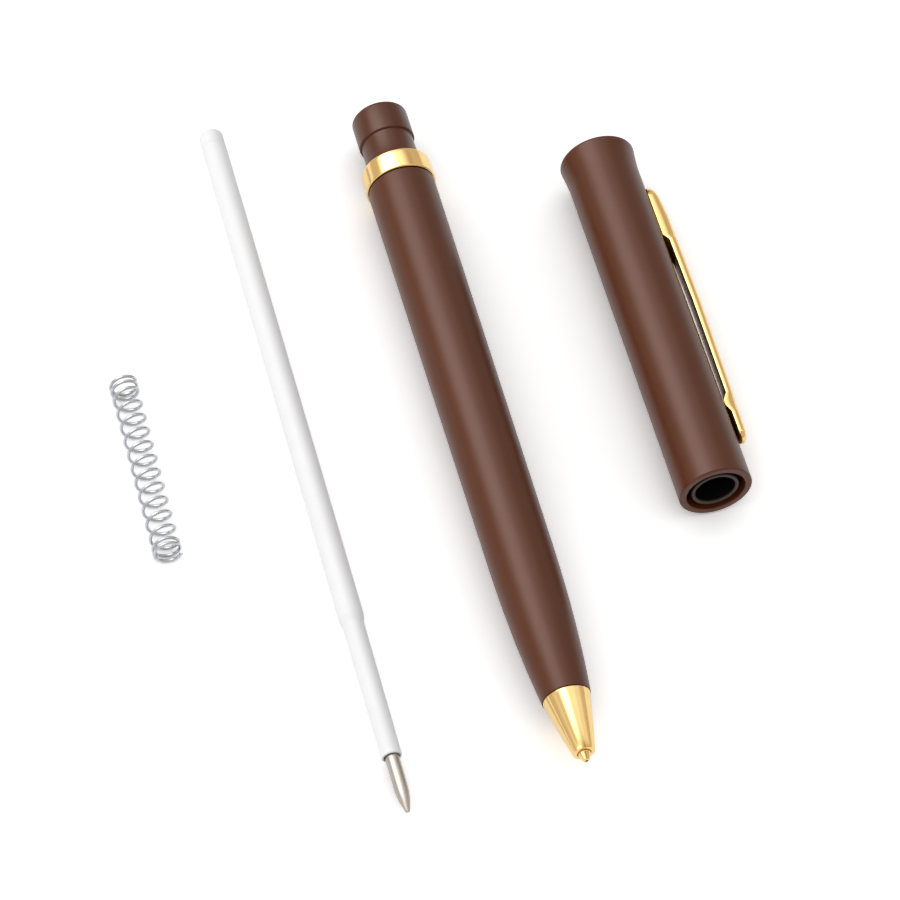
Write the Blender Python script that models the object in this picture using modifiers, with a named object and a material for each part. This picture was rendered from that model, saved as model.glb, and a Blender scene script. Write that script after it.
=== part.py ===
# A slim twist-action ballpoint pen, taken apart and laid out on a table.
# Four groups lie side by side with their axes along +Y: the return spring, the refill,
# the lower barrel with its nose and centre ring, and the upper barrel with its clip and
# twist mechanism. Each group has an empty on its axis; in the group's own frame Z runs
# along the axis from the writing end to the far end, X points right and Y points down.
import math

import bmesh
import bpy
from mathutils import Vector

MM = 0.001

# Layout on the table: how far apart the groups' axes lie, from left to right, and how far
# behind the start of the lower barrel each other group starts.
SPRING_REFILL_SPACING = 18.34 * MM
REFILL_LOWER_SPACING = 20.31 * MM
LOWER_UPPER_SPACING = 24.09 * MM
SPRING_SETBACK = 39.8 * MM
REFILL_SETBACK = 0.32 * MM
UPPER_SETBACK = 30.3 * MM

# Fits: clearance on the radius of a pressed seat, of a turning fit, of a plug-in fit and
# of a loose sliding fit, and the small gap left between two faces that meet.
PRESS_FIT = 0.04 * MM
TURN_FIT = 0.08 * MM
PLUG_FIT = 0.05 * MM
SLIDE_FIT = 0.16 * MM
FACE_GAP = 0.06 * MM

# Roundness of the model: sides of turned shapes and of rods, points along a curved side,
# the step of a rounded corner, the sharpest smooth angle and the distance that joins points.
TURN_STEPS = 32
ROD_STEPS = 16
CURVE_POINTS = 7
CORNER_STEP = math.radians(30)
SMOOTH_ANGLE = math.radians(40)
JOIN_DISTANCE = 0.001 * MM

# Lower barrel, measured from the end of the writing point.
NOSE_START = 1.0 * MM
NOSE_END = 8.28 * MM
NOSE_RIM_RADIUS = 1.24 * MM
NOSE_STEP = 0.06 * MM
NOSE_BULGE_POWER = 0.9
NOSE_HOLE_RADIUS = 1.0 * MM
NOSE_LIP_LENGTH = 0.35 * MM
NOSE_SPIGOT_RADIUS = 2.35 * MM
NOSE_SPIGOT_LENGTH = 5.1 * MM
NOSE_SPRING_SEAT = 6.4 * MM
NOSE_EDGE = 0.12 * MM

# The point's bore follows the refill's tip, which reaches through it until its ball is out.
POINT_RADIUS = 0.74 * MM
POINT_END = -0.12 * MM
POINT_END_RADIUS = 0.3 * MM
POINT_LIP = 0.06 * MM
POINT_CONE_START = 0.95 * MM
POINT_BACK = 3.2 * MM
POINT_FIT = 0.03 * MM
BALL_OUT = 0.06 * MM

BARREL_FRONT_RADIUS = 2.84 * MM
BARREL_BELLY = 30.0 * MM
BARREL_BELLY_RADIUS = 3.95 * MM
BARREL_TAPER_POWER = 2.3
BARREL_END = 82.5 * MM
BARREL_END_RADIUS = 4.15 * MM
BARREL_BORE_RADIUS = 3.2 * MM
BARREL_GUIDE_END = 22.5 * MM
BARREL_BORE_TAPER = 2.5 * MM
BARREL_EDGE = 0.12 * MM

RING_LENGTH = 2.75 * MM
RING_RADIUS = 4.37 * MM
RING_BORE_RADIUS = 3.34 * MM
RING_EDGE = 0.2 * MM

STUB_LENGTH = 8.45 * MM
STUB_RADIUS = 3.48 * MM
STUB_BULGE_LENGTH = 4.3 * MM
STUB_NECK_DEPTH = 0.26 * MM
STUB_TOP_EDGE = 0.5 * MM
STUB_SPIGOT_LENGTH = 12.0 * MM

# Upper barrel, measured from its open mouth.
UPPER_LENGTH = 50.3 * MM
UPPER_MOUTH_RADIUS = 4.4 * MM
UPPER_MID_RADIUS = 4.38 * MM
UPPER_WAIST_LENGTH = 4.0 * MM
UPPER_FLARE_LENGTH = 4.0 * MM
UPPER_TOP_RADIUS = 4.67 * MM
UPPER_FLARE_POWER = 1.6
UPPER_TOP_EDGE = 0.4 * MM
UPPER_TOP_WALL = 0.7 * MM
UPPER_MOUTH_EDGE = 0.1 * MM

FINIAL_SEAT_DEPTH = 2.6 * MM
FINIAL_CROWN = 0.5 * MM
FINIAL_FLAT_RADIUS = 2.6 * MM
FINIAL_SPIGOT_LENGTH = 7.0 * MM

CLIP_BUSH_BORE_RADIUS = 2.25 * MM
CLIP_BUSH_OVER_TANG = 2.9 * MM

# Clip: how far its top lies below the barrel's end, places along it measured down from its
# top (the bump's up from its tip), how far its faces stand off the barrel, its thicknesses
# and its corners.
CLIP_DROP = 6.7 * MM
CLIP_WIDTH = 2.4 * MM
CLIP_LENGTH = 37.7 * MM
CLIP_SHOULDER_LENGTH = 1.7 * MM
CLIP_ROOT_LENGTH = 7.2 * MM
CLIP_NOTCH_LENGTH = 0.8 * MM
CLIP_BOW_PLACE = 17.6 * MM
CLIP_BUMP_FROM_TIP = 4.75 * MM
CLIP_BUMP_LENGTH = 2.8 * MM
CLIP_BUMP_FLAT = 0.5 * MM
CLIP_SEAT_GAP = 0.06 * MM
CLIP_ARM_GAP = 0.55 * MM
CLIP_BOW_GAP = 0.69 * MM
CLIP_TIP_GAP = 0.3 * MM
CLIP_THICKNESS = 0.98 * MM
CLIP_TOP_THICKNESS = 0.5 * MM
CLIP_SHOULDER_THICKNESS = 1.22 * MM
CLIP_TANG_LENGTH = 1.8 * MM
CLIP_TANG_DROP = 0.5 * MM
CLIP_TANG_DEPTH = 1.55 * MM
CLIP_SLOT_GAP = 0.3 * MM
CLIP_CORNER = 0.25 * MM
CLIP_TIP_CORNER = 0.4 * MM
CLIP_SHOULDER_CURVE = 3.0 * MM
CLIP_BOW_CURVE = 20.0 * MM

# Twist mechanism, in the upper barrel.
STROKE = 6.0 * MM
TWIST = math.radians(120)

SLEEVE_RADIUS = 2.86 * MM
SLEEVE_BORE_RADIUS = 2.28 * MM
SLEEVE_RECESS = 0.25 * MM
SLEEVE_HEAD_LENGTH = 2.7 * MM
SLEEVE_FLANGE_LENGTH = 1.0 * MM

GUIDE_LENGTH = 8.2 * MM

PIN_RADIUS = 0.45 * MM
PIN_END_GAP = 0.2 * MM
PIN_RUN_GAP = 0.3 * MM

FRICTION_RING_SIDES = 8

CAM_BORE_RADIUS = 1.6 * MM
CAM_FLANGE_LENGTH = 3.5 * MM
CAM_LEAD_IN = 0.5
CAM_CUP_GAP = 0.5 * MM
CAM_STEPS = 48

PLUNGER_TOP_GAP = 1.2 * MM
CUP_FIT = 0.12 * MM
CUP_DEPTH = 3.0 * MM
CUP_FLOOR_START = 19.3 * MM
CUP_FLOOR = 1.1 * MM

# Refill, measured from its writing end.
REFILL_LENGTH = 98.6 * MM
REFILL_RADIUS = 1.5 * MM
REFILL_BORE_RADIUS = 1.0 * MM
REFILL_FRONT_START = 7.2 * MM
REFILL_FRONT_RADIUS = 1.19 * MM
REFILL_NECK_RADIUS = 1.26 * MM
REFILL_FRONT_BORE_RADIUS = 0.72 * MM
REFILL_SHOULDER = 24.6 * MM
REFILL_SHOULDER_LENGTH = 1.9 * MM
REFILL_STEPS = 24

TIP_RADIUS = 0.82 * MM
TIP_CONE_START = 3.3 * MM
TIP_CONE_POWER = 1.7
TIP_CONE_POINTS = 6
TIP_LIP = 0.05 * MM
TIP_SPIGOT_LENGTH = 4.5 * MM
TIP_CHANNEL_RADIUS = 0.1 * MM

BALL_RADIUS = 0.15 * MM
BALL_PROUD = 0.1 * MM
BALL_FIT = 0.02 * MM
BALL_STEPS = 16
BALL_RINGS = 10

TAIL_LENGTH = 2.2 * MM
TAIL_STEP = 0.03 * MM
TAIL_EDGE = 0.7 * MM
TAIL_SPIGOT_LENGTH = 4.5 * MM
TAIL_VENT_RADIUS = 0.25 * MM

INK_FIT = 0.04 * MM
INK_HEADROOM = 21.0 * MM
INK_FOLLOWER_LENGTH = 5.0 * MM

# Return spring.
SPRING_RADIUS = 1.55 * MM
SPRING_WIRE_RADIUS = 0.2 * MM
SPRING_END_TURNS = 2
SPRING_END_PITCH = 0.72 * MM
SPRING_ACTIVE_TURNS = 11
SPRING_ACTIVE_PITCH = 2.0 * MM
SPRING_POINTS_A_TURN = 10
SPRING_ROOM = 0.18 * MM

# Values worked out from the sizes above. The layout is centred on the origin.
SPRING_OUTER_RADIUS = SPRING_RADIUS + SPRING_WIRE_RADIUS
CLIP_REACH = UPPER_MID_RADIUS + CLIP_BOW_GAP + CLIP_THICKNESS
LAYOUT_SPACING = SPRING_REFILL_SPACING + REFILL_LOWER_SPACING + LOWER_UPPER_SPACING
SPRING_X = (SPRING_OUTER_RADIUS - LAYOUT_SPACING - CLIP_REACH) / 2
REFILL_X = SPRING_X + SPRING_REFILL_SPACING
LOWER_X = REFILL_X + REFILL_LOWER_SPACING
UPPER_X = LOWER_X + LOWER_UPPER_SPACING
LOWER_START_Y = -(POINT_END + REFILL_SETBACK + REFILL_LENGTH) / 2
SPRING_START_Y = LOWER_START_Y + SPRING_SETBACK
REFILL_START_Y = LOWER_START_Y + REFILL_SETBACK
UPPER_START_Y = LOWER_START_Y + UPPER_SETBACK

NOSE_BASE_RADIUS = BARREL_FRONT_RADIUS - NOSE_STEP
NOSE_LIP_RADIUS = POINT_RADIUS + TURN_FIT
NOSE_LIP_END = NOSE_START + NOSE_LIP_LENGTH
BARREL_BORE_START = BARREL_GUIDE_END + BARREL_BORE_TAPER
SPRING_BORE_RADIUS = SPRING_OUTER_RADIUS + SPRING_ROOM
SPIGOT_RADIUS = RING_BORE_RADIUS - PRESS_FIT
CONNECTOR_FOOT = BARREL_END + RING_LENGTH + 2 * FACE_GAP
STUB_END = CONNECTOR_FOOT + STUB_LENGTH
STUB_BORE_RADIUS = SLEEVE_RADIUS + PLUG_FIT
STUB_NECK_RADIUS = STUB_RADIUS - STUB_NECK_DEPTH

UPPER_BORE_RADIUS = STUB_RADIUS + PLUG_FIT
UPPER_FLARE_START = UPPER_LENGTH - UPPER_FLARE_LENGTH
UPPER_MID = UPPER_FLARE_START - UPPER_WAIST_LENGTH
FINIAL_RADIUS = UPPER_TOP_RADIUS - UPPER_TOP_WALL
CLIP_TOP = UPPER_LENGTH - CLIP_DROP
CLIP_SHOULDER = CLIP_TOP - CLIP_SHOULDER_LENGTH
CLIP_ROOT_END = CLIP_TOP - CLIP_ROOT_LENGTH
CLIP_BOW = CLIP_TOP - CLIP_BOW_PLACE
CLIP_TIP = CLIP_TOP - CLIP_LENGTH
CLIP_BUMP = CLIP_TIP + CLIP_BUMP_FROM_TIP
CLIP_TANG_TOP = CLIP_TOP - CLIP_TANG_DROP
CLIP_TANG_START = CLIP_TANG_TOP - CLIP_TANG_LENGTH

CUP_RADIUS = SLEEVE_BORE_RADIUS - SLIDE_FIT
CUP_BORE_RADIUS = REFILL_RADIUS + CUP_FIT
CUP_END = CUP_FLOOR_START + CUP_FLOOR
PLUNGER_RADIUS = CAM_BORE_RADIUS - SLIDE_FIT
CAM_RADIUS = SLEEVE_BORE_RADIUS - TURN_FIT
CAM_PITCH = STROKE / TWIST
CAM_SLOPE = math.atan(CAM_PITCH / CAM_BORE_RADIUS)
RAMP_TOP = (PIN_RADIUS + TURN_FIT) / math.cos(CAM_SLOPE) + CAM_PITCH * CAM_LEAD_IN
PIN_HEIGHT = CUP_END + CAM_CUP_GAP + CAM_PITCH * math.pi - RAMP_TOP
SLEEVE_END = PIN_HEIGHT + PIN_RADIUS + PIN_RUN_GAP + SLEEVE_HEAD_LENGTH
SLEEVE_FLANGE_START = SLEEVE_END - SLEEVE_FLANGE_LENGTH
FRICTION_RING_START = SLEEVE_END + FACE_GAP
FRICTION_RING_THICKNESS = UPPER_BORE_RADIUS - CAM_RADIUS - 2 * SLIDE_FIT
CAM_FLANGE_START = FRICTION_RING_START + FRICTION_RING_THICKNESS + FACE_GAP
CAM_FLANGE_END = CAM_FLANGE_START + CAM_FLANGE_LENGTH

TAIL_RADIUS = REFILL_RADIUS - TAIL_STEP
INK_END = REFILL_LENGTH - INK_HEADROOM
SOCKET_RADIUS = BALL_RADIUS + BALL_FIT
SOCKET_END = BALL_RADIUS + SOCKET_RADIUS
TIP_END_RADIUS = SOCKET_RADIUS + TIP_LIP
TIP_REACH = BALL_OUT - POINT_END


def remove_everything():
    for item in list(bpy.data.objects):
        bpy.data.objects.remove(item, do_unlink=True)


def new_collection(name):
    collection = bpy.data.collections.new(name)
    bpy.context.scene.collection.children.link(collection)
    return collection


def finish(name, colour, roughness, metallic):
    made = bpy.data.materials.new(name)
    made.use_nodes = True
    shader = made.node_tree.nodes["Principled BSDF"]
    shader.inputs["Base Color"].default_value = (*colour, 1.0)
    shader.inputs["Roughness"].default_value = roughness
    shader.inputs["Metallic"].default_value = metallic
    made.diffuse_color = (*colour, 1.0)
    return made


def axis_empty(name, x, start_y, height):
    # The group's Z axis lies along the world's +Y, and its X axis along the world's +X.
    empty = bpy.data.objects.new(name, None)
    empty.location = (x, start_y, height)
    empty.rotation_euler = (-math.pi / 2, 0.0, 0.0)
    pen.objects.link(empty)
    return empty


def place(item, group, material=None):
    item.parent = group
    if material:
        item.data.materials.append(material)
        pen.objects.link(item)
    else:
        item.hide_render = True
        item.display_type = "WIRE"
        cutters.objects.link(item)
    return item


def rounded(corners, closed=True):
    # A path through corners given as (across, along) or (across, along, corner radius).
    points = []
    count = len(corners)
    for index, corner in enumerate(corners):
        here = Vector(corner[:2])
        radius = corner[2] if len(corner) > 2 else 0.0
        is_end = not closed and index in (0, count - 1)
        if radius <= 0.0 or is_end:
            points.append(here)
            continue
        before = (Vector(corners[index - 1][:2]) - here).normalized()
        after = (Vector(corners[(index + 1) % count][:2]) - here).normalized()
        half = before.angle(after) / 2
        centre = here + (before + after).normalized() * (radius / math.sin(half))
        start = here + before * (radius / math.tan(half)) - centre
        turn = math.pi - 2 * half
        if start.x * before.y - start.y * before.x > 0:
            turn = -turn
        steps = max(1, math.ceil(abs(turn) / CORNER_STEP))
        for step in range(steps + 1):
            angle = turn * step / steps
            cosine = math.cos(angle)
            sine = math.sin(angle)
            spoke = Vector((start.x * cosine - start.y * sine, start.x * sine + start.y * cosine))
            points.append(centre + spoke)
    return points


def turned_mesh(name, corners, closed):
    points = rounded(corners, closed)
    edges = [(i, i + 1) for i in range(len(points) - 1)]
    if closed:
        edges.append((len(points) - 1, 0))
    mesh = bpy.data.meshes.new(name)
    mesh.from_pydata([(p.x, 0.0, p.y) for p in points], edges, [])
    return mesh


def turned(name, corners, group, material, steps=TURN_STEPS, closed=True):
    # The corners run down the outer side and, on a tube, back up the inner side.
    item = bpy.data.objects.new(name, turned_mesh(name, corners, closed))
    screw = item.modifiers.new("turn", "SCREW")
    screw.axis = "Z"
    screw.angle = 2 * math.pi
    screw.steps = steps
    screw.render_steps = steps
    screw.use_merge_vertices = True
    screw.merge_threshold = JOIN_DISTANCE
    screw.use_smooth_shade = True
    return place(item, group, material)


def box_cutter(name, group, low, high):
    mesh = bpy.data.meshes.new(name)
    shape = bmesh.new()
    bmesh.ops.create_cube(shape, size=1.0)
    low = Vector(low)
    high = Vector(high)
    for vertex in shape.verts:
        vertex.co = (low + high) / 2 + Vector(a * b for a, b in zip(vertex.co, high - low))
    shape.to_mesh(mesh)
    shape.free()
    return place(bpy.data.objects.new(name, mesh), group)


def rod_mesh(name, radius, length):
    # A round bar centred on its own origin, lying along Y.
    mesh = bpy.data.meshes.new(name)
    shape = bmesh.new()
    bmesh.ops.create_cone(
        shape, cap_ends=True, segments=ROD_STEPS, radius1=radius, radius2=radius, depth=length
    )
    for vertex in shape.verts:
        vertex.co = Vector((vertex.co.x, -vertex.co.z, vertex.co.y))
    shape.to_mesh(mesh)
    shape.free()
    mesh.shade_smooth()
    mesh.set_sharp_from_angle(angle=SMOOTH_ANGLE)
    return mesh


def cut(item, cutter):
    modifier = item.modifiers.new(cutter.name, "BOOLEAN")
    modifier.operation = "DIFFERENCE"
    modifier.solver = "EXACT"
    modifier.object = cutter


def nose_radius(height):
    share = (height - NOSE_START) / (NOSE_END - NOSE_START)
    return NOSE_RIM_RADIUS + (NOSE_BASE_RADIUS - NOSE_RIM_RADIUS) * share**NOSE_BULGE_POWER


def lower_radius(height):
    if height >= BARREL_BELLY:
        share = (height - BARREL_BELLY) / (BARREL_END - BARREL_BELLY)
        return BARREL_BELLY_RADIUS + (BARREL_END_RADIUS - BARREL_BELLY_RADIUS) * share
    share = (BARREL_BELLY - height) / (BARREL_BELLY - NOSE_END)
    return BARREL_BELLY_RADIUS - (BARREL_BELLY_RADIUS - BARREL_FRONT_RADIUS) * share**BARREL_TAPER_POWER


def upper_radius(height):
    share = min(height / UPPER_MID, 1.0)
    radius = UPPER_MOUTH_RADIUS + (UPPER_MID_RADIUS - UPPER_MOUTH_RADIUS) * share
    if height > UPPER_FLARE_START:
        share = (height - UPPER_FLARE_START) / (UPPER_LENGTH - UPPER_TOP_EDGE - UPPER_FLARE_START)
        radius += (UPPER_TOP_RADIUS - UPPER_MID_RADIUS) * min(share, 1.0) ** UPPER_FLARE_POWER
    return radius


def tip_radius(height):
    share = max(TIP_CONE_START - height, 0.0) / (TIP_CONE_START - BALL_PROUD)
    return TIP_RADIUS - (TIP_RADIUS - TIP_END_RADIUS) * share**TIP_CONE_POWER


def spread(first, last, count):
    return [first + (last - first) * step / count for step in range(count + 1)]


def make_lower_barrel(group):
    taper = spread(BARREL_BELLY, NOSE_END + BARREL_EDGE, CURVE_POINTS)
    seat_start = BARREL_END - STUB_SPIGOT_LENGTH - FACE_GAP
    nose_seat_radius = NOSE_SPIGOT_RADIUS + PRESS_FIT
    nose_seat_end = NOSE_END + NOSE_SPIGOT_LENGTH + FACE_GAP
    corners = [(BARREL_END_RADIUS, BARREL_END, BARREL_EDGE)]
    corners += [(lower_radius(height), height) for height in taper]
    corners += [
        (BARREL_FRONT_RADIUS, NOSE_END),
        (nose_seat_radius, NOSE_END),
        (nose_seat_radius, nose_seat_end),
        (SPRING_BORE_RADIUS, nose_seat_end),
        (SPRING_BORE_RADIUS, BARREL_GUIDE_END),
        (BARREL_BORE_RADIUS, BARREL_BORE_START),
        (BARREL_BORE_RADIUS, seat_start),
        (SPIGOT_RADIUS + PRESS_FIT, seat_start),
        (SPIGOT_RADIUS + PRESS_FIT, BARREL_END),
    ]
    turned("lower_barrel", corners, group, lacquer)


def make_nose(group):
    base = NOSE_END - FACE_GAP
    spigot_end = NOSE_END + NOSE_SPIGOT_LENGTH
    corners = [
        (NOSE_SPIGOT_RADIUS, spigot_end),
        (NOSE_SPIGOT_RADIUS, base),
    ]
    corners += [(nose_radius(height), height) for height in spread(base, NOSE_START, CURVE_POINTS)]
    corners[-1] = (*corners[-1], NOSE_EDGE)
    corners += [
        (NOSE_LIP_RADIUS, NOSE_START),
        (NOSE_LIP_RADIUS, NOSE_LIP_END),
        (NOSE_HOLE_RADIUS, NOSE_LIP_END),
        (NOSE_HOLE_RADIUS, NOSE_SPRING_SEAT),
        (SPRING_BORE_RADIUS, NOSE_SPRING_SEAT),
        (SPRING_BORE_RADIUS, spigot_end),
    ]
    turned("nose_cone", corners, group, gold)

    body_radius = NOSE_HOLE_RADIUS - PRESS_FIT
    shoulder = NOSE_LIP_END + FACE_GAP
    lip_end = POINT_END + POINT_LIP
    corners = [
        (body_radius, POINT_BACK),
        (body_radius, shoulder),
        (POINT_RADIUS, shoulder),
        (POINT_RADIUS, POINT_CONE_START),
        (POINT_END_RADIUS, POINT_END),
        (SOCKET_RADIUS, POINT_END),
        (SOCKET_RADIUS, lip_end),
    ]
    corners += [
        (tip_radius(height + TIP_REACH) + POINT_FIT, height)
        for height in spread(lip_end, POINT_BACK, TIP_CONE_POINTS)
    ]
    turned("point_bush", corners, group, gold)


def make_ring_and_connector(group):
    ring_start = BARREL_END + FACE_GAP
    ring_end = ring_start + RING_LENGTH
    corners = [
        (RING_RADIUS, ring_end, RING_EDGE),
        (RING_RADIUS, ring_start, RING_EDGE),
        (RING_BORE_RADIUS, ring_start),
        (RING_BORE_RADIUS, ring_end),
    ]
    turned("centre_ring", corners, group, gold)

    bulge_start = STUB_END - STUB_BULGE_LENGTH
    spigot_start = BARREL_END - STUB_SPIGOT_LENGTH
    corners = [
        (STUB_RADIUS, STUB_END, STUB_TOP_EDGE),
        (STUB_RADIUS, bulge_start),
        (STUB_NECK_RADIUS, bulge_start),
        (STUB_RADIUS, CONNECTOR_FOOT),
        (SPIGOT_RADIUS, CONNECTOR_FOOT),
        (SPIGOT_RADIUS, spigot_start),
        (STUB_BORE_RADIUS, spigot_start),
        (STUB_BORE_RADIUS, STUB_END),
    ]
    turned("connector", corners, group, brown_plastic)


def make_upper_barrel(group):
    finial_seat = UPPER_LENGTH - FINIAL_SEAT_DEPTH
    flare = spread(UPPER_LENGTH - UPPER_TOP_EDGE, UPPER_FLARE_START, CURVE_POINTS)
    corners = [(UPPER_TOP_RADIUS, UPPER_LENGTH, UPPER_TOP_EDGE)]
    corners += [(upper_radius(height), height) for height in flare[1:]]
    corners += [
        (UPPER_MID_RADIUS, UPPER_MID),
        (UPPER_MOUTH_RADIUS, 0.0, UPPER_MOUTH_EDGE),
        (UPPER_BORE_RADIUS, 0.0),
        (UPPER_BORE_RADIUS, finial_seat),
        (FINIAL_RADIUS + PRESS_FIT, finial_seat),
        (FINIAL_RADIUS + PRESS_FIT, UPPER_LENGTH),
    ]
    barrel = turned("upper_barrel", corners, group, lacquer)
    slot_half = CLIP_WIDTH / 2 + TURN_FIT
    slot = box_cutter(
        "clip_slot",
        group,
        (CLIP_BUSH_BORE_RADIUS + CLIP_SLOT_GAP, -slot_half, CLIP_TANG_START - CLIP_SLOT_GAP),
        (2 * UPPER_TOP_RADIUS, slot_half, CLIP_TANG_TOP + CLIP_SLOT_GAP),
    )
    cut(barrel, slot)

    bush_radius = UPPER_BORE_RADIUS - PRESS_FIT
    bush_start = CAM_FLANGE_END + FACE_GAP
    bush_end = CLIP_TANG_TOP + CLIP_BUSH_OVER_TANG
    corners = [
        (bush_radius, bush_end),
        (bush_radius, bush_start),
        (CLIP_BUSH_BORE_RADIUS, bush_start),
        (CLIP_BUSH_BORE_RADIUS, bush_end),
    ]
    bush = turned("clip_bush", corners, group, brass)
    cut(bush, slot)

    flange_start = finial_seat + FACE_GAP
    spigot_radius = CLIP_BUSH_BORE_RADIUS - PRESS_FIT
    corners = [
        (0.0, UPPER_LENGTH + FINIAL_CROWN),
        (FINIAL_FLAT_RADIUS, UPPER_LENGTH + FINIAL_CROWN),
        (FINIAL_RADIUS, UPPER_LENGTH),
        (FINIAL_RADIUS, flange_start),
        (spigot_radius, flange_start),
        (spigot_radius, flange_start - FINIAL_SPIGOT_LENGTH),
        (0.0, flange_start - FINIAL_SPIGOT_LENGTH),
    ]
    turned("finial", corners, group, lacquer, closed=False)


def make_clip(group):
    # The clip is a flat outline in the plane of the barrel's axis, hinged where its tang
    # enters the barrel. Across is the distance from the barrel's axis.
    hinge_across = upper_radius(CLIP_TANG_TOP)
    hinge_along = CLIP_TANG_TOP
    hinge = bpy.data.objects.new("clip_hinge", None)
    hinge.parent = group
    hinge.location = (hinge_across, 0.0, hinge_along)
    pen.objects.link(hinge)

    top_seat = upper_radius(CLIP_TOP) + CLIP_SEAT_GAP
    low_seat = upper_radius(CLIP_ROOT_END) + CLIP_SEAT_GAP
    arm = UPPER_MID_RADIUS + CLIP_ARM_GAP
    bow = UPPER_MID_RADIUS + CLIP_BOW_GAP
    tip = UPPER_MOUTH_RADIUS + CLIP_TIP_GAP
    bump = upper_radius(CLIP_BUMP) + CLIP_SEAT_GAP
    corners = [
        (top_seat, CLIP_TOP, CLIP_CORNER / 2),
        (top_seat + CLIP_TOP_THICKNESS, CLIP_TOP, CLIP_CORNER),
        (top_seat + CLIP_SHOULDER_THICKNESS, CLIP_SHOULDER, CLIP_SHOULDER_CURVE),
        (arm + CLIP_THICKNESS, CLIP_ROOT_END),
        (bow + CLIP_THICKNESS, CLIP_BOW, CLIP_BOW_CURVE),
        (tip + CLIP_THICKNESS, CLIP_TIP, CLIP_TIP_CORNER),
        (tip, CLIP_TIP, CLIP_TIP_CORNER),
        (tip, CLIP_BUMP - CLIP_BUMP_LENGTH / 2, CLIP_CORNER),
        (bump, CLIP_BUMP - CLIP_BUMP_FLAT / 2, CLIP_CORNER),
        (bump, CLIP_BUMP + CLIP_BUMP_FLAT / 2, CLIP_CORNER),
        (arm, CLIP_BUMP + CLIP_BUMP_LENGTH / 2, CLIP_CORNER),
        (bow, CLIP_BOW, CLIP_BOW_CURVE),
        (arm, CLIP_ROOT_END - CLIP_NOTCH_LENGTH, CLIP_CORNER),
        (low_seat, CLIP_ROOT_END),
        (low_seat, CLIP_TANG_START),
        (hinge_across - CLIP_TANG_DEPTH, CLIP_TANG_START),
        (hinge_across - CLIP_TANG_DEPTH, CLIP_TANG_TOP),
        (top_seat, CLIP_TANG_TOP),
    ]
    outline = bpy.data.curves.new("clip", "CURVE")
    outline.dimensions = "2D"
    outline.fill_mode = "BOTH"
    outline.extrude = CLIP_WIDTH / 2
    points = rounded(corners)
    spline = outline.splines.new("POLY")
    spline.points.add(len(points) - 1)
    for point, (across, along) in zip(spline.points, points):
        point.co = (across - hinge_across, along - hinge_along, 0.0, 1.0)
    spline.use_cyclic_u = True
    clip = place(bpy.data.objects.new("clip", outline), hinge, gold)
    clip.rotation_euler = (math.pi / 2, 0.0, 0.0)


def make_sleeve(group):
    flange_radius = UPPER_BORE_RADIUS - SLIDE_FIT
    corners = [
        (flange_radius, SLEEVE_END),
        (flange_radius, SLEEVE_FLANGE_START),
        (SLEEVE_RADIUS, SLEEVE_FLANGE_START),
        (SLEEVE_RADIUS, SLEEVE_RECESS),
        (SLEEVE_BORE_RADIUS, SLEEVE_RECESS),
        (SLEEVE_BORE_RADIUS, SLEEVE_END),
    ]
    sleeve = turned("sleeve", corners, group, dark_plastic)
    slot_half = PIN_RADIUS + TURN_FIT
    run_low = PIN_HEIGHT - STROKE - PIN_RADIUS - PIN_RUN_GAP
    run_high = PIN_HEIGHT + PIN_RADIUS + PIN_RUN_GAP
    reach = 2 * SLEEVE_RADIUS
    slots = box_cutter("pin_slots", group, (-slot_half, -reach, run_low), (slot_half, reach, run_high))
    cut(sleeve, slots)

    guide_end = SLEEVE_FLANGE_START - PIN_RUN_GAP
    guide_radius = UPPER_BORE_RADIUS - PRESS_FIT
    corners = [
        (guide_radius, guide_end),
        (guide_radius, guide_end - GUIDE_LENGTH),
        (SLEEVE_RADIUS + TURN_FIT, guide_end - GUIDE_LENGTH),
        (SLEEVE_RADIUS + TURN_FIT, guide_end),
    ]
    turned("guide_bush", corners, group, brass)

    half = FRICTION_RING_THICKNESS / 2
    ring_radius = UPPER_BORE_RADIUS - SLIDE_FIT - half
    circle = []
    for step in range(FRICTION_RING_SIDES):
        angle = math.pi / 2 - 2 * math.pi * step / FRICTION_RING_SIDES
        across = ring_radius + half * math.cos(angle)
        circle.append((across, FRICTION_RING_START + half + half * math.sin(angle)))
    turned("friction_ring", circle, group, rubber)


def make_cam(group):
    flange_radius = UPPER_BORE_RADIUS - PRESS_FIT
    corners = [
        (flange_radius, CAM_FLANGE_END),
        (flange_radius, CAM_FLANGE_START),
        (CAM_RADIUS, CAM_FLANGE_START),
        (CAM_RADIUS, PIN_HEIGHT),
        (CAM_BORE_RADIUS, PIN_HEIGHT),
        (CAM_BORE_RADIUS, CAM_FLANGE_END),
    ]
    blank = turned("cam_blank", corners, group, white_plastic, steps=CAM_STEPS)
    bpy.context.view_layer.update()
    graph = bpy.context.evaluated_depsgraph_get()
    mesh = bpy.data.meshes.new_from_object(blank.evaluated_get(graph))
    bpy.data.objects.remove(blank)
    mesh.name = "cam_ring"

    # The tube's free end is drawn into two equal ramps, half a turn each. The pin lies at
    # a quarter turn either way, one lead-in past the top of its ramp.
    for vertex in mesh.vertices:
        if vertex.co.z > PIN_HEIGHT + FACE_GAP:
            continue
        angle = math.atan2(vertex.co.y, vertex.co.x)
        along_ramp = (angle - math.pi / 2 + CAM_LEAD_IN) % math.pi
        vertex.co.z = PIN_HEIGHT + RAMP_TOP - CAM_PITCH * along_ramp
    cam = bpy.data.objects.new("cam_ring", mesh)
    cam.parent = group
    pen.objects.link(cam)


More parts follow.
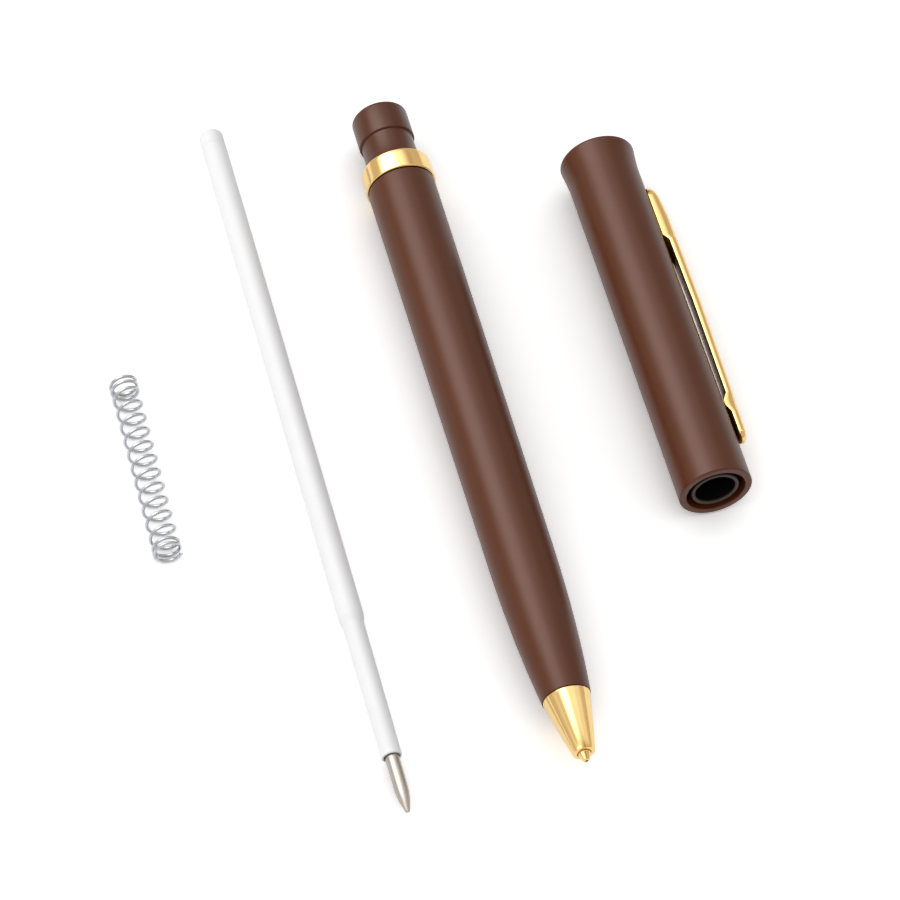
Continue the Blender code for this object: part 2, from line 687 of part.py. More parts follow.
def make_plunger(group):
    plunger_end = CAM_FLANGE_END - PLUNGER_TOP_GAP
    cup_start = CUP_FLOOR_START - CUP_DEPTH
    corners = [
        (0.0, plunger_end),
        (PLUNGER_RADIUS, plunger_end),
        (PLUNGER_RADIUS, CUP_END),
        (CUP_RADIUS, CUP_END),
        (CUP_RADIUS, cup_start),
        (CUP_BORE_RADIUS, cup_start),
        (CUP_BORE_RADIUS, CUP_FLOOR_START),
        (0.0, CUP_FLOOR_START),
    ]
    plunger = turned("plunger", corners, group, white_plastic, closed=False)
    hole_mesh = rod_mesh("pin_hole", PIN_RADIUS + PRESS_FIT, 4 * PLUNGER_RADIUS)
    hole = place(bpy.data.objects.new("pin_hole", hole_mesh), group)
    hole.location = (0.0, 0.0, PIN_HEIGHT)
    cut(plunger, hole)

    length = 2 * (SLEEVE_RADIUS - PIN_END_GAP)
    pin_mesh = rod_mesh("follower_pin", PIN_RADIUS, length)
    pin = place(bpy.data.objects.new("follower_pin", pin_mesh), group, steel)
    pin.location = (0.0, 0.0, PIN_HEIGHT)


def make_refill(group):
    body_end = REFILL_LENGTH - TAIL_LENGTH - FACE_GAP
    shoulder_end = REFILL_SHOULDER + REFILL_SHOULDER_LENGTH
    spigot_end = REFILL_FRONT_START + TIP_SPIGOT_LENGTH
    corners = [
        (REFILL_RADIUS, body_end),
        (REFILL_RADIUS, shoulder_end),
        (REFILL_NECK_RADIUS, REFILL_SHOULDER),
        (REFILL_FRONT_RADIUS, REFILL_FRONT_START),
        (REFILL_FRONT_BORE_RADIUS, REFILL_FRONT_START),
        (REFILL_FRONT_BORE_RADIUS, REFILL_SHOULDER),
        (REFILL_BORE_RADIUS, shoulder_end),
        (REFILL_BORE_RADIUS, body_end),
    ]
    turned("refill_tube", corners, group, white_plastic, steps=REFILL_STEPS)

    shoulder = REFILL_FRONT_START - FACE_GAP
    spigot_radius = REFILL_FRONT_BORE_RADIUS - PRESS_FIT
    corners = [
        (spigot_radius, spigot_end),
        (spigot_radius, shoulder),
        (TIP_RADIUS, shoulder),
    ]
    cone = spread(TIP_CONE_START, BALL_PROUD, TIP_CONE_POINTS)
    corners += [(tip_radius(height), height) for height in cone]
    corners += [
        (SOCKET_RADIUS, BALL_PROUD),
        (SOCKET_RADIUS, SOCKET_END),
        (TIP_CHANNEL_RADIUS, SOCKET_END),
        (TIP_CHANNEL_RADIUS, spigot_end),
    ]
    turned("refill_tip", corners, group, nickel, steps=REFILL_STEPS)

    mesh = bpy.data.meshes.new("writing_ball")
    shape = bmesh.new()
    bmesh.ops.create_uvsphere(shape, u_segments=BALL_STEPS, v_segments=BALL_RINGS, radius=BALL_RADIUS)
    shape.to_mesh(mesh)
    shape.free()
    mesh.shade_smooth()
    ball = place(bpy.data.objects.new("writing_ball", mesh), group, steel)
    ball.location = (0.0, 0.0, BALL_RADIUS)

    thin = REFILL_FRONT_BORE_RADIUS - INK_FIT
    wide = REFILL_BORE_RADIUS - INK_FIT
    corners = [
        (0.0, INK_END),
        (wide, INK_END),
        (wide, shoulder_end + INK_FIT),
        (thin, REFILL_SHOULDER + INK_FIT),
        (thin, spigot_end + FACE_GAP),
        (0.0, spigot_end + FACE_GAP),
    ]
    turned("ink_column", corners, group, ink, steps=REFILL_STEPS, closed=False)

    follower_start = INK_END + FACE_GAP
    corners = [
        (0.0, follower_start + INK_FOLLOWER_LENGTH),
        (wide, follower_start + INK_FOLLOWER_LENGTH),
        (wide, follower_start),
        (0.0, follower_start),
    ]
    turned("ink_follower", corners, group, grease, steps=REFILL_STEPS, closed=False)

    tail_start = REFILL_LENGTH - TAIL_LENGTH
    plug_radius = REFILL_BORE_RADIUS - PRESS_FIT
    corners = [
        (TAIL_RADIUS, REFILL_LENGTH, TAIL_EDGE),
        (TAIL_RADIUS, tail_start),
        (plug_radius, tail_start),
        (plug_radius, tail_start - TAIL_SPIGOT_LENGTH),
        (TAIL_VENT_RADIUS, tail_start - TAIL_SPIGOT_LENGTH),
        (TAIL_VENT_RADIUS, REFILL_LENGTH),
    ]
    turned("tail_plug", corners, group, white_plastic, steps=REFILL_STEPS)


def spring_height(turns):
    first = min(turns, SPRING_END_TURNS)
    middle = min(max(turns - SPRING_END_TURNS, 0.0), SPRING_ACTIVE_TURNS)
    last = max(turns - SPRING_END_TURNS - SPRING_ACTIVE_TURNS, 0.0)
    return (first + last) * SPRING_END_PITCH + middle * SPRING_ACTIVE_PITCH


def make_spring(group):
    count = round((2 * SPRING_END_TURNS + SPRING_ACTIVE_TURNS) * SPRING_POINTS_A_TURN)
    points = []
    for index in range(count + 1):
        turns = index / SPRING_POINTS_A_TURN
        angle = 2 * math.pi * turns
        height = spring_height(turns)
        points.append(Vector((SPRING_RADIUS * math.cos(angle), SPRING_RADIUS * math.sin(angle), height)))
    wire = bpy.data.curves.new("spring", "CURVE")
    wire.dimensions = "3D"
    wire.bevel_depth = SPRING_WIRE_RADIUS
    wire.bevel_resolution = 1
    wire.use_fill_caps = True
    spline = wire.splines.new("POLY")
    spline.points.add(count)
    for point, where in zip(spline.points, points):
        point.co = (*where, 1.0)
    place(bpy.data.objects.new("spring", wire), group, spring_steel)

    # Least gap between the wire's surfaces, between points at least half a turn apart.
    apart = SPRING_POINTS_A_TURN // 2
    nearest = min(
        (points[a] - points[b]).length
        for a in range(len(points))
        for b in range(a + apart, len(points))
    )
    gap = (nearest - 2 * SPRING_WIRE_RADIUS) / MM
    print(f"spring: least gap between its turns {gap:.2f} mm")


remove_everything()
pen = new_collection("ballpoint_pen")
cutters = new_collection("cutters")

lacquer = finish("brown lacquer", (0.107, 0.042, 0.026), 0.4, 0.0)
brown_plastic = finish("brown plastic", (0.095, 0.038, 0.026), 0.3, 0.0)
gold = finish("polished gold", (0.83, 0.55, 0.2), 0.15, 1.0)
brass = finish("brass", (0.62, 0.45, 0.18), 0.35, 1.0)
dark_plastic = finish("dark plastic", (0.045, 0.042, 0.042), 0.45, 0.0)
white_plastic = finish("white plastic", (0.85, 0.85, 0.85), 0.35, 0.0)
rubber = finish("black rubber", (0.02, 0.02, 0.02), 0.8, 0.0)
steel = finish("hard steel", (0.55, 0.55, 0.55), 0.2, 1.0)
spring_steel = finish("spring wire", (0.7, 0.7, 0.71), 0.25, 1.0)
nickel = finish("nickel silver", (0.62, 0.57, 0.5), 0.25, 1.0)
ink = finish("blue ink", (0.01, 0.015, 0.12), 0.4, 0.0)
grease = finish("ink follower grease", (0.8, 0.75, 0.6), 0.5, 0.0)

lower_axis = axis_empty("lower_axis", LOWER_X, LOWER_START_Y, RING_RADIUS)
upper_axis = axis_empty("upper_axis", UPPER_X, UPPER_START_Y, UPPER_TOP_RADIUS)
refill_axis = axis_empty("refill_axis", REFILL_X, REFILL_START_Y, REFILL_RADIUS)
spring_axis = axis_empty("spring_axis", SPRING_X, SPRING_START_Y, SPRING_OUTER_RADIUS)

make_lower_barrel(lower_axis)
make_nose(lower_axis)
make_ring_and_connector(lower_axis)
make_upper_barrel(upper_axis)
make_clip(upper_axis)
make_sleeve(upper_axis)
make_cam(upper_axis)
make_plunger(upper_axis)
make_refill(refill_axis)
make_spring(spring_axis)
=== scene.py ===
import math

import bmesh
import bpy
from mathutils import Matrix, Vector


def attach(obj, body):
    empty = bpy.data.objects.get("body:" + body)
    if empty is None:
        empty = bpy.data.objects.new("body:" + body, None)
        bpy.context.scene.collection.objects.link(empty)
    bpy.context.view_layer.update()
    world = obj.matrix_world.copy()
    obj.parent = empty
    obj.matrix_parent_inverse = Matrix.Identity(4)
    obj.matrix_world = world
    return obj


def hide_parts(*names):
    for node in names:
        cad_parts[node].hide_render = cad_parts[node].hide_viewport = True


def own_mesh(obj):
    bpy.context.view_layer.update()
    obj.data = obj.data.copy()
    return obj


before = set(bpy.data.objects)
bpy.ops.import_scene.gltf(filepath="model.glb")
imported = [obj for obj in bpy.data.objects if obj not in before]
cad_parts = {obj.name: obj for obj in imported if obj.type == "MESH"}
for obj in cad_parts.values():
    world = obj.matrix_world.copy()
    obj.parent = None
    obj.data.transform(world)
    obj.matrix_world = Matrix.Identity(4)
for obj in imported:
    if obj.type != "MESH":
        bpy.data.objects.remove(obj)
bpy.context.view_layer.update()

mm = 0.001
fullTurn = 2 * math.pi


# Node trees: a wire is one socket, and sums and products of wires add Math nodes.
class Wire:
    def __init__(self, board, socket):
        self.board = board
        self.socket = socket

    def __add__(self, other):
        return self.board.maths("ADD", self, other)

    def __radd__(self, other):
        return self.board.maths("ADD", other, self)

    def __sub__(self, other):
        return self.board.maths("SUBTRACT", self, other)

    def __rsub__(self, other):
        return self.board.maths("SUBTRACT", other, self)

    def __mul__(self, other):
        return self.board.maths("MULTIPLY", self, other)

    def __rmul__(self, other):
        return self.board.maths("MULTIPLY", other, self)


class Board:
    def __init__(self, tree):
        self.tree = tree

    # any node: its type, its settings, its sockets' values or links, and which outputs to hand back
    def node(self, kind, settings=None, sockets=None, output=0):
        made = self.tree.nodes.new(kind)
        for key, value in (settings or {}).items():
            setattr(made, key, value)
        for key, value in (sockets or {}).items():
            if isinstance(value, Wire):
                self.tree.links.new(value.socket, made.inputs[key])
            else:
                made.inputs[key].default_value = value
        if isinstance(output, (list, tuple)):
            return [Wire(self, made.outputs[key]) for key in output]
        return Wire(self, made.outputs[output]) if made.outputs else None

    def maths(self, operation, first, second=0.0):
        return self.node("ShaderNodeMath", {"operation": operation}, {0: first, 1: second})

    def mixColour(self, factor, first, second):
        return self.node("ShaderNodeMix", {"data_type": "RGBA"}, {0: factor, 6: first, 7: second}, 2)

    def stretched(self, vector, scale):
        return self.node("ShaderNodeMapping", {}, {"Vector": vector, "Scale": scale})

    def noise(self, vector, scale, detail=2.0, roughness=0.5):
        return self.node(
            "ShaderNodeTexNoise",
            {"noise_dimensions": "3D"},
            {"Vector": vector, "Scale": scale, "Detail": detail, "Roughness": roughness},
        )


# Finishes
def newFinish(name):
    made = bpy.data.materials.new(name)
    made.use_nodes = True
    made.node_tree.nodes.clear()
    board = Board(made.node_tree)
    return made, board, board.node("ShaderNodeTexCoord", output="Object")


def closeFinish(board, sockets):
    surface = board.node("ShaderNodeBsdfPrincipled", {}, sockets)
    board.node("ShaderNodeOutputMaterial", {}, {"Surface": surface})


def bumpFrom(board, height, depth):
    return board.node("ShaderNodeBump", {}, {"Height": height, "Distance": depth, "Strength": 1.0})


lacquerLook = {
    "deep": (0.087, 0.0200, 0.0036, 1.0),
    "pale": (0.101, 0.0246, 0.0052, 1.0),
    "gloss": 0.34,
    "roughness": 0.34,
    "roughnessSpread": 0.08,
    "cloudScale": 120.0,  # patches of about 8 mm
    "grainScale": 1080.0,
    "peelScale": 2600.0,  # ripples of about 0.4 mm
    "dustScale": 15600.0,
    "peelDepth": 0.0012 * mm,
}


def makeLacquer(name, look):
    made, board, place = newFinish(name)
    cloud = board.noise(place, look["cloudScale"], detail=3.0)
    grain = board.noise(place, look["grainScale"], detail=4.0, roughness=0.6)
    peel = board.noise(place, look["peelScale"])
    dust = board.noise(place, look["dustScale"], detail=1.0)
    tone = 0.6 * cloud + 0.3 * grain + 0.1 * dust
    closeFinish(board, {
        "Base Color": board.mixColour(tone, look["deep"], look["pale"]),
        "Specular IOR Level": look["gloss"],
        "Roughness": look["roughness"] + look["roughnessSpread"] * (0.5 * cloud + 0.5 * grain - 0.5),
        "Normal": bumpFrom(board, 0.8 * peel + 0.2 * dust, look["peelDepth"]),
    })
    return made


# painted shade: the bore's finish is near black, far darker than the lacquer, for the shade inside the upper barrel
boreShadeLook = dict(
    lacquerLook,
    deep=(0.009, 0.0034, 0.0018, 1.0),
    pale=(0.013, 0.0050, 0.0027, 1.0),
    gloss=0.12,
    roughness=0.5,
)

stubLook = dict(
    lacquerLook,
    deep=(0.080, 0.0195, 0.0046, 1.0),
    pale=(0.094, 0.0240, 0.0066, 1.0),
    roughness=0.29,
    peelDepth=0.0008 * mm,
)

goldLook = {
    "deep": (0.82, 0.558, 0.220, 1.0),
    "pale": (0.91, 0.662, 0.295, 1.0),
    "roughness": 0.14,
    "roughnessSpread": 0.05,
    "cloudScale": 260.0,
    "polishScale": 9000.0,  # polishing lines of about 0.1 mm
    "polishDepth": 0.00012 * mm,
}
# painted shade: the clip's back is coloured grey and dark brown in place of the shade between the clip and the
# barrel
clipLook = dict(goldLook, paintedGrey=(0.66, 0.55, 0.45, 1.0), shade=(0.10, 0.042, 0.012, 1.0))  # the clip's back


def makeGold(name, look, grainAlong):
    made, board, place = newFinish(name)
    cloud = board.noise(place, look["cloudScale"], detail=3.0)
    lines = board.noise(board.stretched(place, grainAlong), look["polishScale"], detail=3.0)
    colour = board.mixColour(0.7 * cloud + 0.3 * lines, look["deep"], look["pale"])
    metallic = 1.0
    if "shade" in look:
        # painted shade: the attribute goes from gold at 0, by grey metal at 0.5, to dark at 1; the grey and the
        # dark stand in for the shade between the clip and the barrel
        back = board.node("ShaderNodeAttribute", {"attribute_name": "back"}, output="Fac")
        paintedGrey = board.maths("MINIMUM", 2 * back, 1.0)
        dark = board.maths("MAXIMUM", 2 * back - 1, 0.0)
        colour = board.mixColour(paintedGrey, colour, board.mixColour(dark, look["paintedGrey"], look["shade"]))
        metallic = 1 - dark
    closeFinish(board, {
        "Base Color": colour,
        "Metallic": metallic,
        "Specular IOR Level": 0.0,
        "Roughness": look["roughness"] + look["roughnessSpread"] * (0.5 * cloud + 0.5 * lines - 0.5),
        "Normal": bumpFrom(board, lines, look["polishDepth"]),
    })
    return made


plasticLook = {
    "white": {
        "deep": (0.82, 0.82, 0.825, 1.0), "pale": (0.88, 0.88, 0.88, 1.0),
        "gloss": 0.2, "roughness": 0.46, "flow": (1.0, 0.05, 1.0), "flowScale": 2200.0, "depth": 0.0010 * mm,
    },
    "smoke": {
        "deep": (0.062, 0.044, 0.037, 1.0), "pale": (0.080, 0.058, 0.049, 1.0),
        "gloss": 0.12, "roughness": 0.45, "flow": (1.0, 1.0, 1.0), "flowScale": 4200.0, "depth": 0.0012 * mm,
        # painted shade: inside is the near-black colour past the rim, for the shade inside the barrel
        "inside": (0.005, 0.004, 0.004, 1.0), "rim": -18.82 * mm, "reach": 0.25 * mm,
    },
    "rubber": {
        "deep": (0.014, 0.014, 0.014, 1.0), "pale": (0.026, 0.026, 0.026, 1.0),
        "gloss": 0.3, "roughness": 0.78, "flow": (1.0, 1.0, 1.0), "flowScale": 5200.0, "depth": 0.0030 * mm,
    },
    "ink": {
        "deep": (0.006, 0.010, 0.085, 1.0), "pale": (0.010, 0.018, 0.140, 1.0),
        "gloss": 0.5, "roughness": 0.30, "flow": (1.0, 0.3, 1.0), "flowScale": 900.0, "depth": 0.0004 * mm,
    },
    "grease": {
        "deep": (0.70, 0.64, 0.48, 1.0), "pale": (0.84, 0.79, 0.64, 1.0),
        "gloss": 0.4, "roughness": 0.48, "flow": (1.0, 0.6, 1.0), "flowScale": 1400.0, "depth": 0.0020 * mm,
    },
}
plasticCloud = 12  # its clouds are this many times as wide as its flow lines
plasticSpread = 0.10  # of its roughness


def makePlastic(name, look):
    made, board, place = newFinish(name)
    flow = board.noise(board.stretched(place, look["flow"]), look["flowScale"], detail=3.0)
    cloud = board.noise(place, look["flowScale"] / plasticCloud)
    colour = board.mixColour(0.5 * flow + 0.5 * cloud, look["deep"], look["pale"])
    if "rim" in look:  # painted shade: past the rim at the mouth the sleeve is coloured near black, for the shade inside the barrel
        depth = board.node("ShaderNodeMapRange", {}, {
            "Value": board.node("ShaderNodeSeparateXYZ", {}, {0: place}, "Y"),
            "From Min": look["rim"], "From Max": look["rim"] + look["reach"],
        })
        colour = board.mixColour(depth, colour, look["inside"])
    closeFinish(board, {
        "Base Color": colour,
        "Specular IOR Level": look["gloss"],
        "Roughness": look["roughness"] + plasticSpread * (flow - 0.5),
        "Normal": bumpFrom(board, flow, look["depth"]),
    })
    return made


metalLook = {
    "nickel": {
        "deep": (0.39, 0.355, 0.32, 1.0), "pale": (0.55, 0.51, 0.46, 1.0),
        "roughness": 0.38, "grain": (0.03, 1.0, 0.03), "scale": 9000.0, "depth": 0.0008 * mm,
    },
    "wire": {
        "deep": (0.46, 0.475, 0.50, 1.0), "pale": (0.61, 0.628, 0.66, 1.0),
        "roughness": 0.15, "grain": (1.0, 1.0, 1.0), "scale": 5000.0, "depth": 0.0006 * mm,
    },
    "steel": {
        "deep": (0.48, 0.48, 0.49, 1.0), "pale": (0.62, 0.62, 0.63, 1.0),
        "roughness": 0.16, "grain": (1.0, 1.0, 0.05), "scale": 7000.0, "depth": 0.0004 * mm,
    },
    "brass": {
        "deep": (0.52, 0.36, 0.13, 1.0), "pale": (0.70, 0.52, 0.22, 1.0),
        "roughness": 0.33, "grain": (0.03, 1.0, 0.03), "scale": 7000.0, "depth": 0.0015 * mm,
    },
}
metalCloud = 14
metalSpread = 0.14


def makeMetal(name, look):
    made, board, place = newFinish(name)
    lines = board.noise(board.stretched(place, look["grain"]), look["scale"], detail=3.0)
    cloud = board.noise(place, look["scale"] / metalCloud)
    closeFinish(board, {
        "Base Color": board.mixColour(0.5 * lines + 0.5 * cloud, look["deep"], look["pale"]),
        "Metallic": 1.0,
        "Roughness": look["roughness"] + metalSpread * (0.6 * lines + 0.4 * cloud - 0.5),
        "Normal": bumpFrom(board, lines, look["depth"]),
    })
    return made


aroundY = (0.02, 1.0, 0.02)  # lines that run round a piece turned on Y
alongY = (1.0, 0.02, 1.0)  # lines that run along Y
finishes = {
    "lacquer": makeLacquer("satin brown lacquer", lacquerLook),
    "bore": makeLacquer("bare brown plastic", boreShadeLook),
    "stub": makeLacquer("moulded brown plastic", stubLook),
    "turnedGold": makeGold("turned gold plate", goldLook, aroundY),
    "clipGold": makeGold("drawn gold plate", clipLook, alongY),
    "white": makePlastic("white plastic", plasticLook["white"]),
    "smoke": makePlastic("smoky brown plastic", plasticLook["smoke"]),
    "rubber": makePlastic("black rubber", plasticLook["rubber"]),
    "ink": makePlastic("blue ink", plasticLook["ink"]),
    "grease": makePlastic("follower grease", plasticLook["grease"]),
    "nickel": makeMetal("turned nickel silver", metalLook["nickel"]),
    "wire": makeMetal("spring wire", metalLook["wire"]),
    "steel": makeMetal("ground steel", metalLook["steel"]),
    "brass": makeMetal("turned brass", metalLook["brass"]),
}
print("finishes made:", len(finishes))


# Geometry trees
def newTree(name, inputs):
    tree = bpy.data.node_groups.new(name, "GeometryNodeTree")
    tree.interface.new_socket("Geometry", in_out="INPUT", socket_type="NodeSocketGeometry")
    for label, kind in inputs:
        tree.interface.new_socket(label, in_out="INPUT", socket_type="NodeSocket" + kind)
    tree.interface.new_socket("Geometry", in_out="OUTPUT", socket_type="NodeSocketGeometry")
    board = Board(tree)
    labels = ["Geometry"] + [label for label, _ in inputs]
    wires = board.node("NodeGroupInput", output=labels)
    return tree, board, dict(zip(labels, wires))


def closeTree(board, shape, finish):
    whole = board.node("GeometryNodeRealizeInstances", {}, {"Geometry": shape})
    coated = board.node("GeometryNodeSetMaterial", {}, {"Geometry": whole, "Material": finish})
    board.node("NodeGroupOutput", {}, {"Geometry": coated})


def setInputs(modifier, values):
    for item in modifier.node_group.interface.items_tree:
        if item.in_out == "INPUT" and item.name in values:
            modifier[item.identifier] = values[item.name]


# Turning: each point of the profile mesh, (radius, 0, height), becomes a ring about an axis along Y.
def makeTurnTree():
    tree, board, given = newTree("turn profile", [
        ("Steps", "Int"), ("Loop", "Int"), ("Axis X", "Float"), ("Axis Z", "Float"),
        ("Start Y", "Float"), ("Join", "Float"), ("Finish", "Material"),
    ])
    count = board.node("GeometryNodeAttributeDomainSize", {"component": "MESH"}, {"Geometry": given["Geometry"]})
    grid = board.node("GeometryNodeMeshGrid", {}, {
        "Size X": 1.0, "Size Y": 1.0, "Vertices X": count + given["Loop"], "Vertices Y": given["Steps"] + 1,
    })
    across, around = board.node(
        "ShaderNodeSeparateXYZ", {}, {0: board.node("GeometryNodeInputPosition")}, ("X", "Y")
    )
    rank = board.maths("ROUND", (across + 0.5) * (count + given["Loop"] - 1))
    profile = board.node("GeometryNodeSampleIndex", {"data_type": "FLOAT_VECTOR", "domain": "POINT"}, {
        "Geometry": given["Geometry"],
        "Value": board.node("GeometryNodeInputPosition"),
        "Index": board.maths("MODULO", rank, count),
    })
    radius, height = board.node("ShaderNodeSeparateXYZ", {}, {0: profile}, ("X", "Z"))
    angle = (around + 0.5) * fullTurn
    where = board.node("ShaderNodeCombineXYZ", {}, {
        "X": given["Axis X"] + radius * board.maths("COSINE", angle),
        "Y": given["Start Y"] + height,
        "Z": given["Axis Z"] + radius * board.maths("SINE", angle),
    })
    turned = board.node("GeometryNodeSetPosition", {}, {"Geometry": grid, "Position": where})
    joined = board.node("GeometryNodeMergeByDistance", {}, {"Geometry": turned, "Distance": given["Join"]})
    closeTree(board, joined, given["Finish"])
    return tree


# The spring: a line drawn into close end turns and open turns between them, then given its wire.
def makeSpringTree():
    tree, board, given = newTree("wind spring", [
        ("Points", "Int"), ("End Turns", "Float"), ("End Pitch", "Float"), ("Active Turns", "Float"),
        ("Active Pitch", "Float"), ("Radius", "Float"), ("Wire", "Float"), ("Wire Sides", "Int"),
        ("Axis X", "Float"), ("Axis Z", "Float"), ("Start Y", "Float"), ("Finish", "Material"),
    ])
    line = board.node("GeometryNodeResampleCurve", {"mode": "COUNT"}, {
        "Curve": board.node("GeometryNodeCurvePrimitiveLine"), "Count": given["Points"],
    })
    share = board.node("GeometryNodeSplineParameter", output="Factor")
    turns = share * (2 * given["End Turns"] + given["Active Turns"])
    first = board.maths("MINIMUM", turns, given["End Turns"])
    middle = board.maths("MAXIMUM", turns - given["End Turns"], 0.0)
    middle = board.maths("MINIMUM", middle, given["Active Turns"])
    last = board.maths("MAXIMUM", turns - given["End Turns"] - given["Active Turns"], 0.0)
    height = (first + last) * given["End Pitch"] + middle * given["Active Pitch"]
    angle = turns * fullTurn
    where = board.node("ShaderNodeCombineXYZ", {}, {
        "X": given["Axis X"] + given["Radius"] * board.maths("COSINE", angle),
        "Y": given["Start Y"] + height,
        "Z": given["Axis Z"] - given["Radius"] * board.maths("SINE", angle),
    })
    wound = board.node("GeometryNodeSetPosition", {}, {"Geometry": line, "Position": where})
    section = board.node("GeometryNodeCurvePrimitiveCircle", {"mode": "RADIUS"}, {
        "Resolution": given["Wire Sides"], "Radius": given["Wire"],
    })
    wire = board.node("GeometryNodeCurveToMesh", {}, {
        "Curve": wound, "Profile Curve": section, "Fill Caps": True,
    })
    closeTree(board, wire, given["Finish"])
    return tree


turnTree = makeTurnTree()
springTree = makeSpringTree()


# Shapes
softEdge = math.radians(38)  # edges sharper than this stay crisp
cornerStep = math.radians(11)
weldGap = 0.0004 * mm  # points nearer than this become one
joinGap = 0.0005 * mm  # the same for the seam of a turned piece


def roundCorners(corners, closed):
    # corners are (across, along) or (across, along, corner radius), in millimetres
    points = []
    count = len(corners)
    for index, corner in enumerate(corners):
        here = Vector(corner[:2])
        radius = corner[2] if len(corner) > 2 else 0.0
        if radius <= 0.0 or (not closed and index in (0, count - 1)):
            points.append(here)
            continue
        before = (Vector(corners[index - 1][:2]) - here).normalized()
        after = (Vector(corners[(index + 1) % count][:2]) - here).normalized()
        half = before.angle(after) / 2
        centre = here + (before + after).normalized() * (radius / math.sin(half))
        start = here + before * (radius / math.tan(half)) - centre
        turn = math.pi - 2 * half
        if start.x * before.y - start.y * before.x > 0:
            turn = -turn
        steps = max(2, math.ceil(abs(turn) / cornerStep))
        for step in range(steps + 1):
            cosine = math.cos(turn * step / steps)
            sine = math.sin(turn * step / steps)
            spoke = Vector((start.x * cosine - start.y * sine, start.x * sine + start.y * cosine))
            points.append(centre + spoke)
    return points


def spread(first, last, count):
    return [first + (last - first) * step / count for step in range(count + 1)]


def newPiece(name, mesh):
    piece = bpy.data.objects.new(name, mesh)
    bpy.context.scene.collection.objects.link(piece)
    return piece


def plainMesh(piece):
    # the modifiers' result becomes the piece's own mesh, with its faces outwards
    bpy.context.view_layer.update()
    graph = bpy.context.evaluated_depsgraph_get()
    mesh = bpy.data.meshes.new_from_object(piece.evaluated_get(graph))
    piece.modifiers.clear()
    piece.data = mesh
    shape = bmesh.new()
    shape.from_mesh(mesh)
    bmesh.ops.remove_doubles(shape, verts=shape.verts, dist=weldGap)
    bmesh.ops.recalc_face_normals(shape, faces=shape.faces)
    if shape.calc_volume(signed=True) < 0:
        bmesh.ops.reverse_faces(shape, faces=shape.faces)
    shape.to_mesh(mesh)
    shape.free()
    mesh.shade_smooth()
    mesh.set_sharp_from_angle(angle=softEdge)
    return piece


def turnPiece(name, corners, axis, steps, finish, closed=True):
    points = roundCorners(corners, closed)
    edges = [(i, i + 1) for i in range(len(points) - 1)]
    mesh = bpy.data.meshes.new(name)
    mesh.from_pydata([(p.x * mm, 0.0, p.y * mm) for p in points], edges, [])
    piece = newPiece(name, mesh)
    modifier = piece.modifiers.new("turn", "NODES")
    modifier.node_group = turnTree
    setInputs(modifier, {
        "Steps": steps, "Loop": int(closed), "Axis X": axis["x"] * mm, "Axis Z": axis["z"] * mm,
        "Start Y": axis["y"] * mm, "Join": joinGap, "Finish": finish,
    })
    return plainMesh(piece)


def addBox(piece, low, high, operation="DIFFERENCE"):
    # cuts a box out of the piece or joins it on; low and high are its corners, in metres
    mesh = bpy.data.meshes.new("cutter")
    shape = bmesh.new()
    bmesh.ops.create_cube(shape, size=1.0)
    for vertex in shape.verts:
        vertex.co = [(a + b) / 2 + c * (b - a) for a, b, c in zip(low, high, vertex.co)]
    shape.to_mesh(mesh)
    shape.free()
    cutter = newPiece("cutter", mesh)
    modifier = piece.modifiers.new("cut", "BOOLEAN")
    modifier.operation = operation
    modifier.solver = "EXACT"
    modifier.object = cutter
    plainMesh(piece)
    bpy.data.objects.remove(cutter)
    return piece


def fit(piece, body, node):
    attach(piece, body)
    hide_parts(node)
    print("piece", piece.name, len(piece.data.polygons), "faces")


# Where the four groups lie, in millimetres: x and z of the axis, and y of its start.
lowerAxis = {"x": 5.13, "y": -49.4, "z": 4.37}
upperAxis = {"x": 29.22, "y": -19.1, "z": 4.67}
refillAxis = {"x": -15.18, "y": -49.08, "z": 1.5}
springAxis = {"x": -33.52, "y": -9.6, "z": 1.75}

lowerBarrel = {
    "steps": 128, "noseEnd": 8.28, "frontRadius": 2.84, "belly": 30.0, "bellyRadius": 3.95, "taperPower": 2.3,
    "end": 82.5, "endRadius": 4.15, "edge": 0.14, "frontEdge": 0.07, "noseSeat": 2.39, "noseSeatEnd": 13.44,
    "springBore": 1.93, "springBoreEnd": 22.5, "bore": 3.2, "boreStart": 25.0, "seatStart": 70.44,
    "seatRadius": 3.34, "endRun": 2.0, "bodyRings": 10, "frontRun": 0.3, "taperRings": 26,
}


def makeLowerBarrel(size):
    def radius(height):
        share = (size["belly"] - height) / (size["belly"] - size["noseEnd"])
        return size["bellyRadius"] - (size["bellyRadius"] - size["frontRadius"]) * share ** size["taperPower"]

    corners = [(size["endRadius"], size["end"], size["edge"])]
    for height in spread(size["end"] - size["endRun"], size["belly"], size["bodyRings"])[:-1]:
        share = (height - size["belly"]) / (size["end"] - size["belly"])
        corners.append((size["bellyRadius"] + (size["endRadius"] - size["bellyRadius"]) * share, height))
    for height in spread(size["belly"], size["noseEnd"] + size["frontRun"], size["taperRings"]):
        corners.append((radius(height), height))
    corners += [
        (size["frontRadius"], size["noseEnd"], size["frontEdge"]),
        (size["noseSeat"], size["noseEnd"]),
        (size["noseSeat"], size["noseSeatEnd"]),
        (size["springBore"], size["noseSeatEnd"]),
        (size["springBore"], size["springBoreEnd"]),
        (size["bore"], size["boreStart"]),
        (size["bore"], size["seatStart"]),
        (size["seatRadius"], size["seatStart"]),
        (size["seatRadius"], size["end"]),
    ]
    piece = turnPiece("lowerBarrel", corners, lowerAxis, size["steps"], finishes["lacquer"])
    fit(piece, "lower_barrel", "lower_barrel")


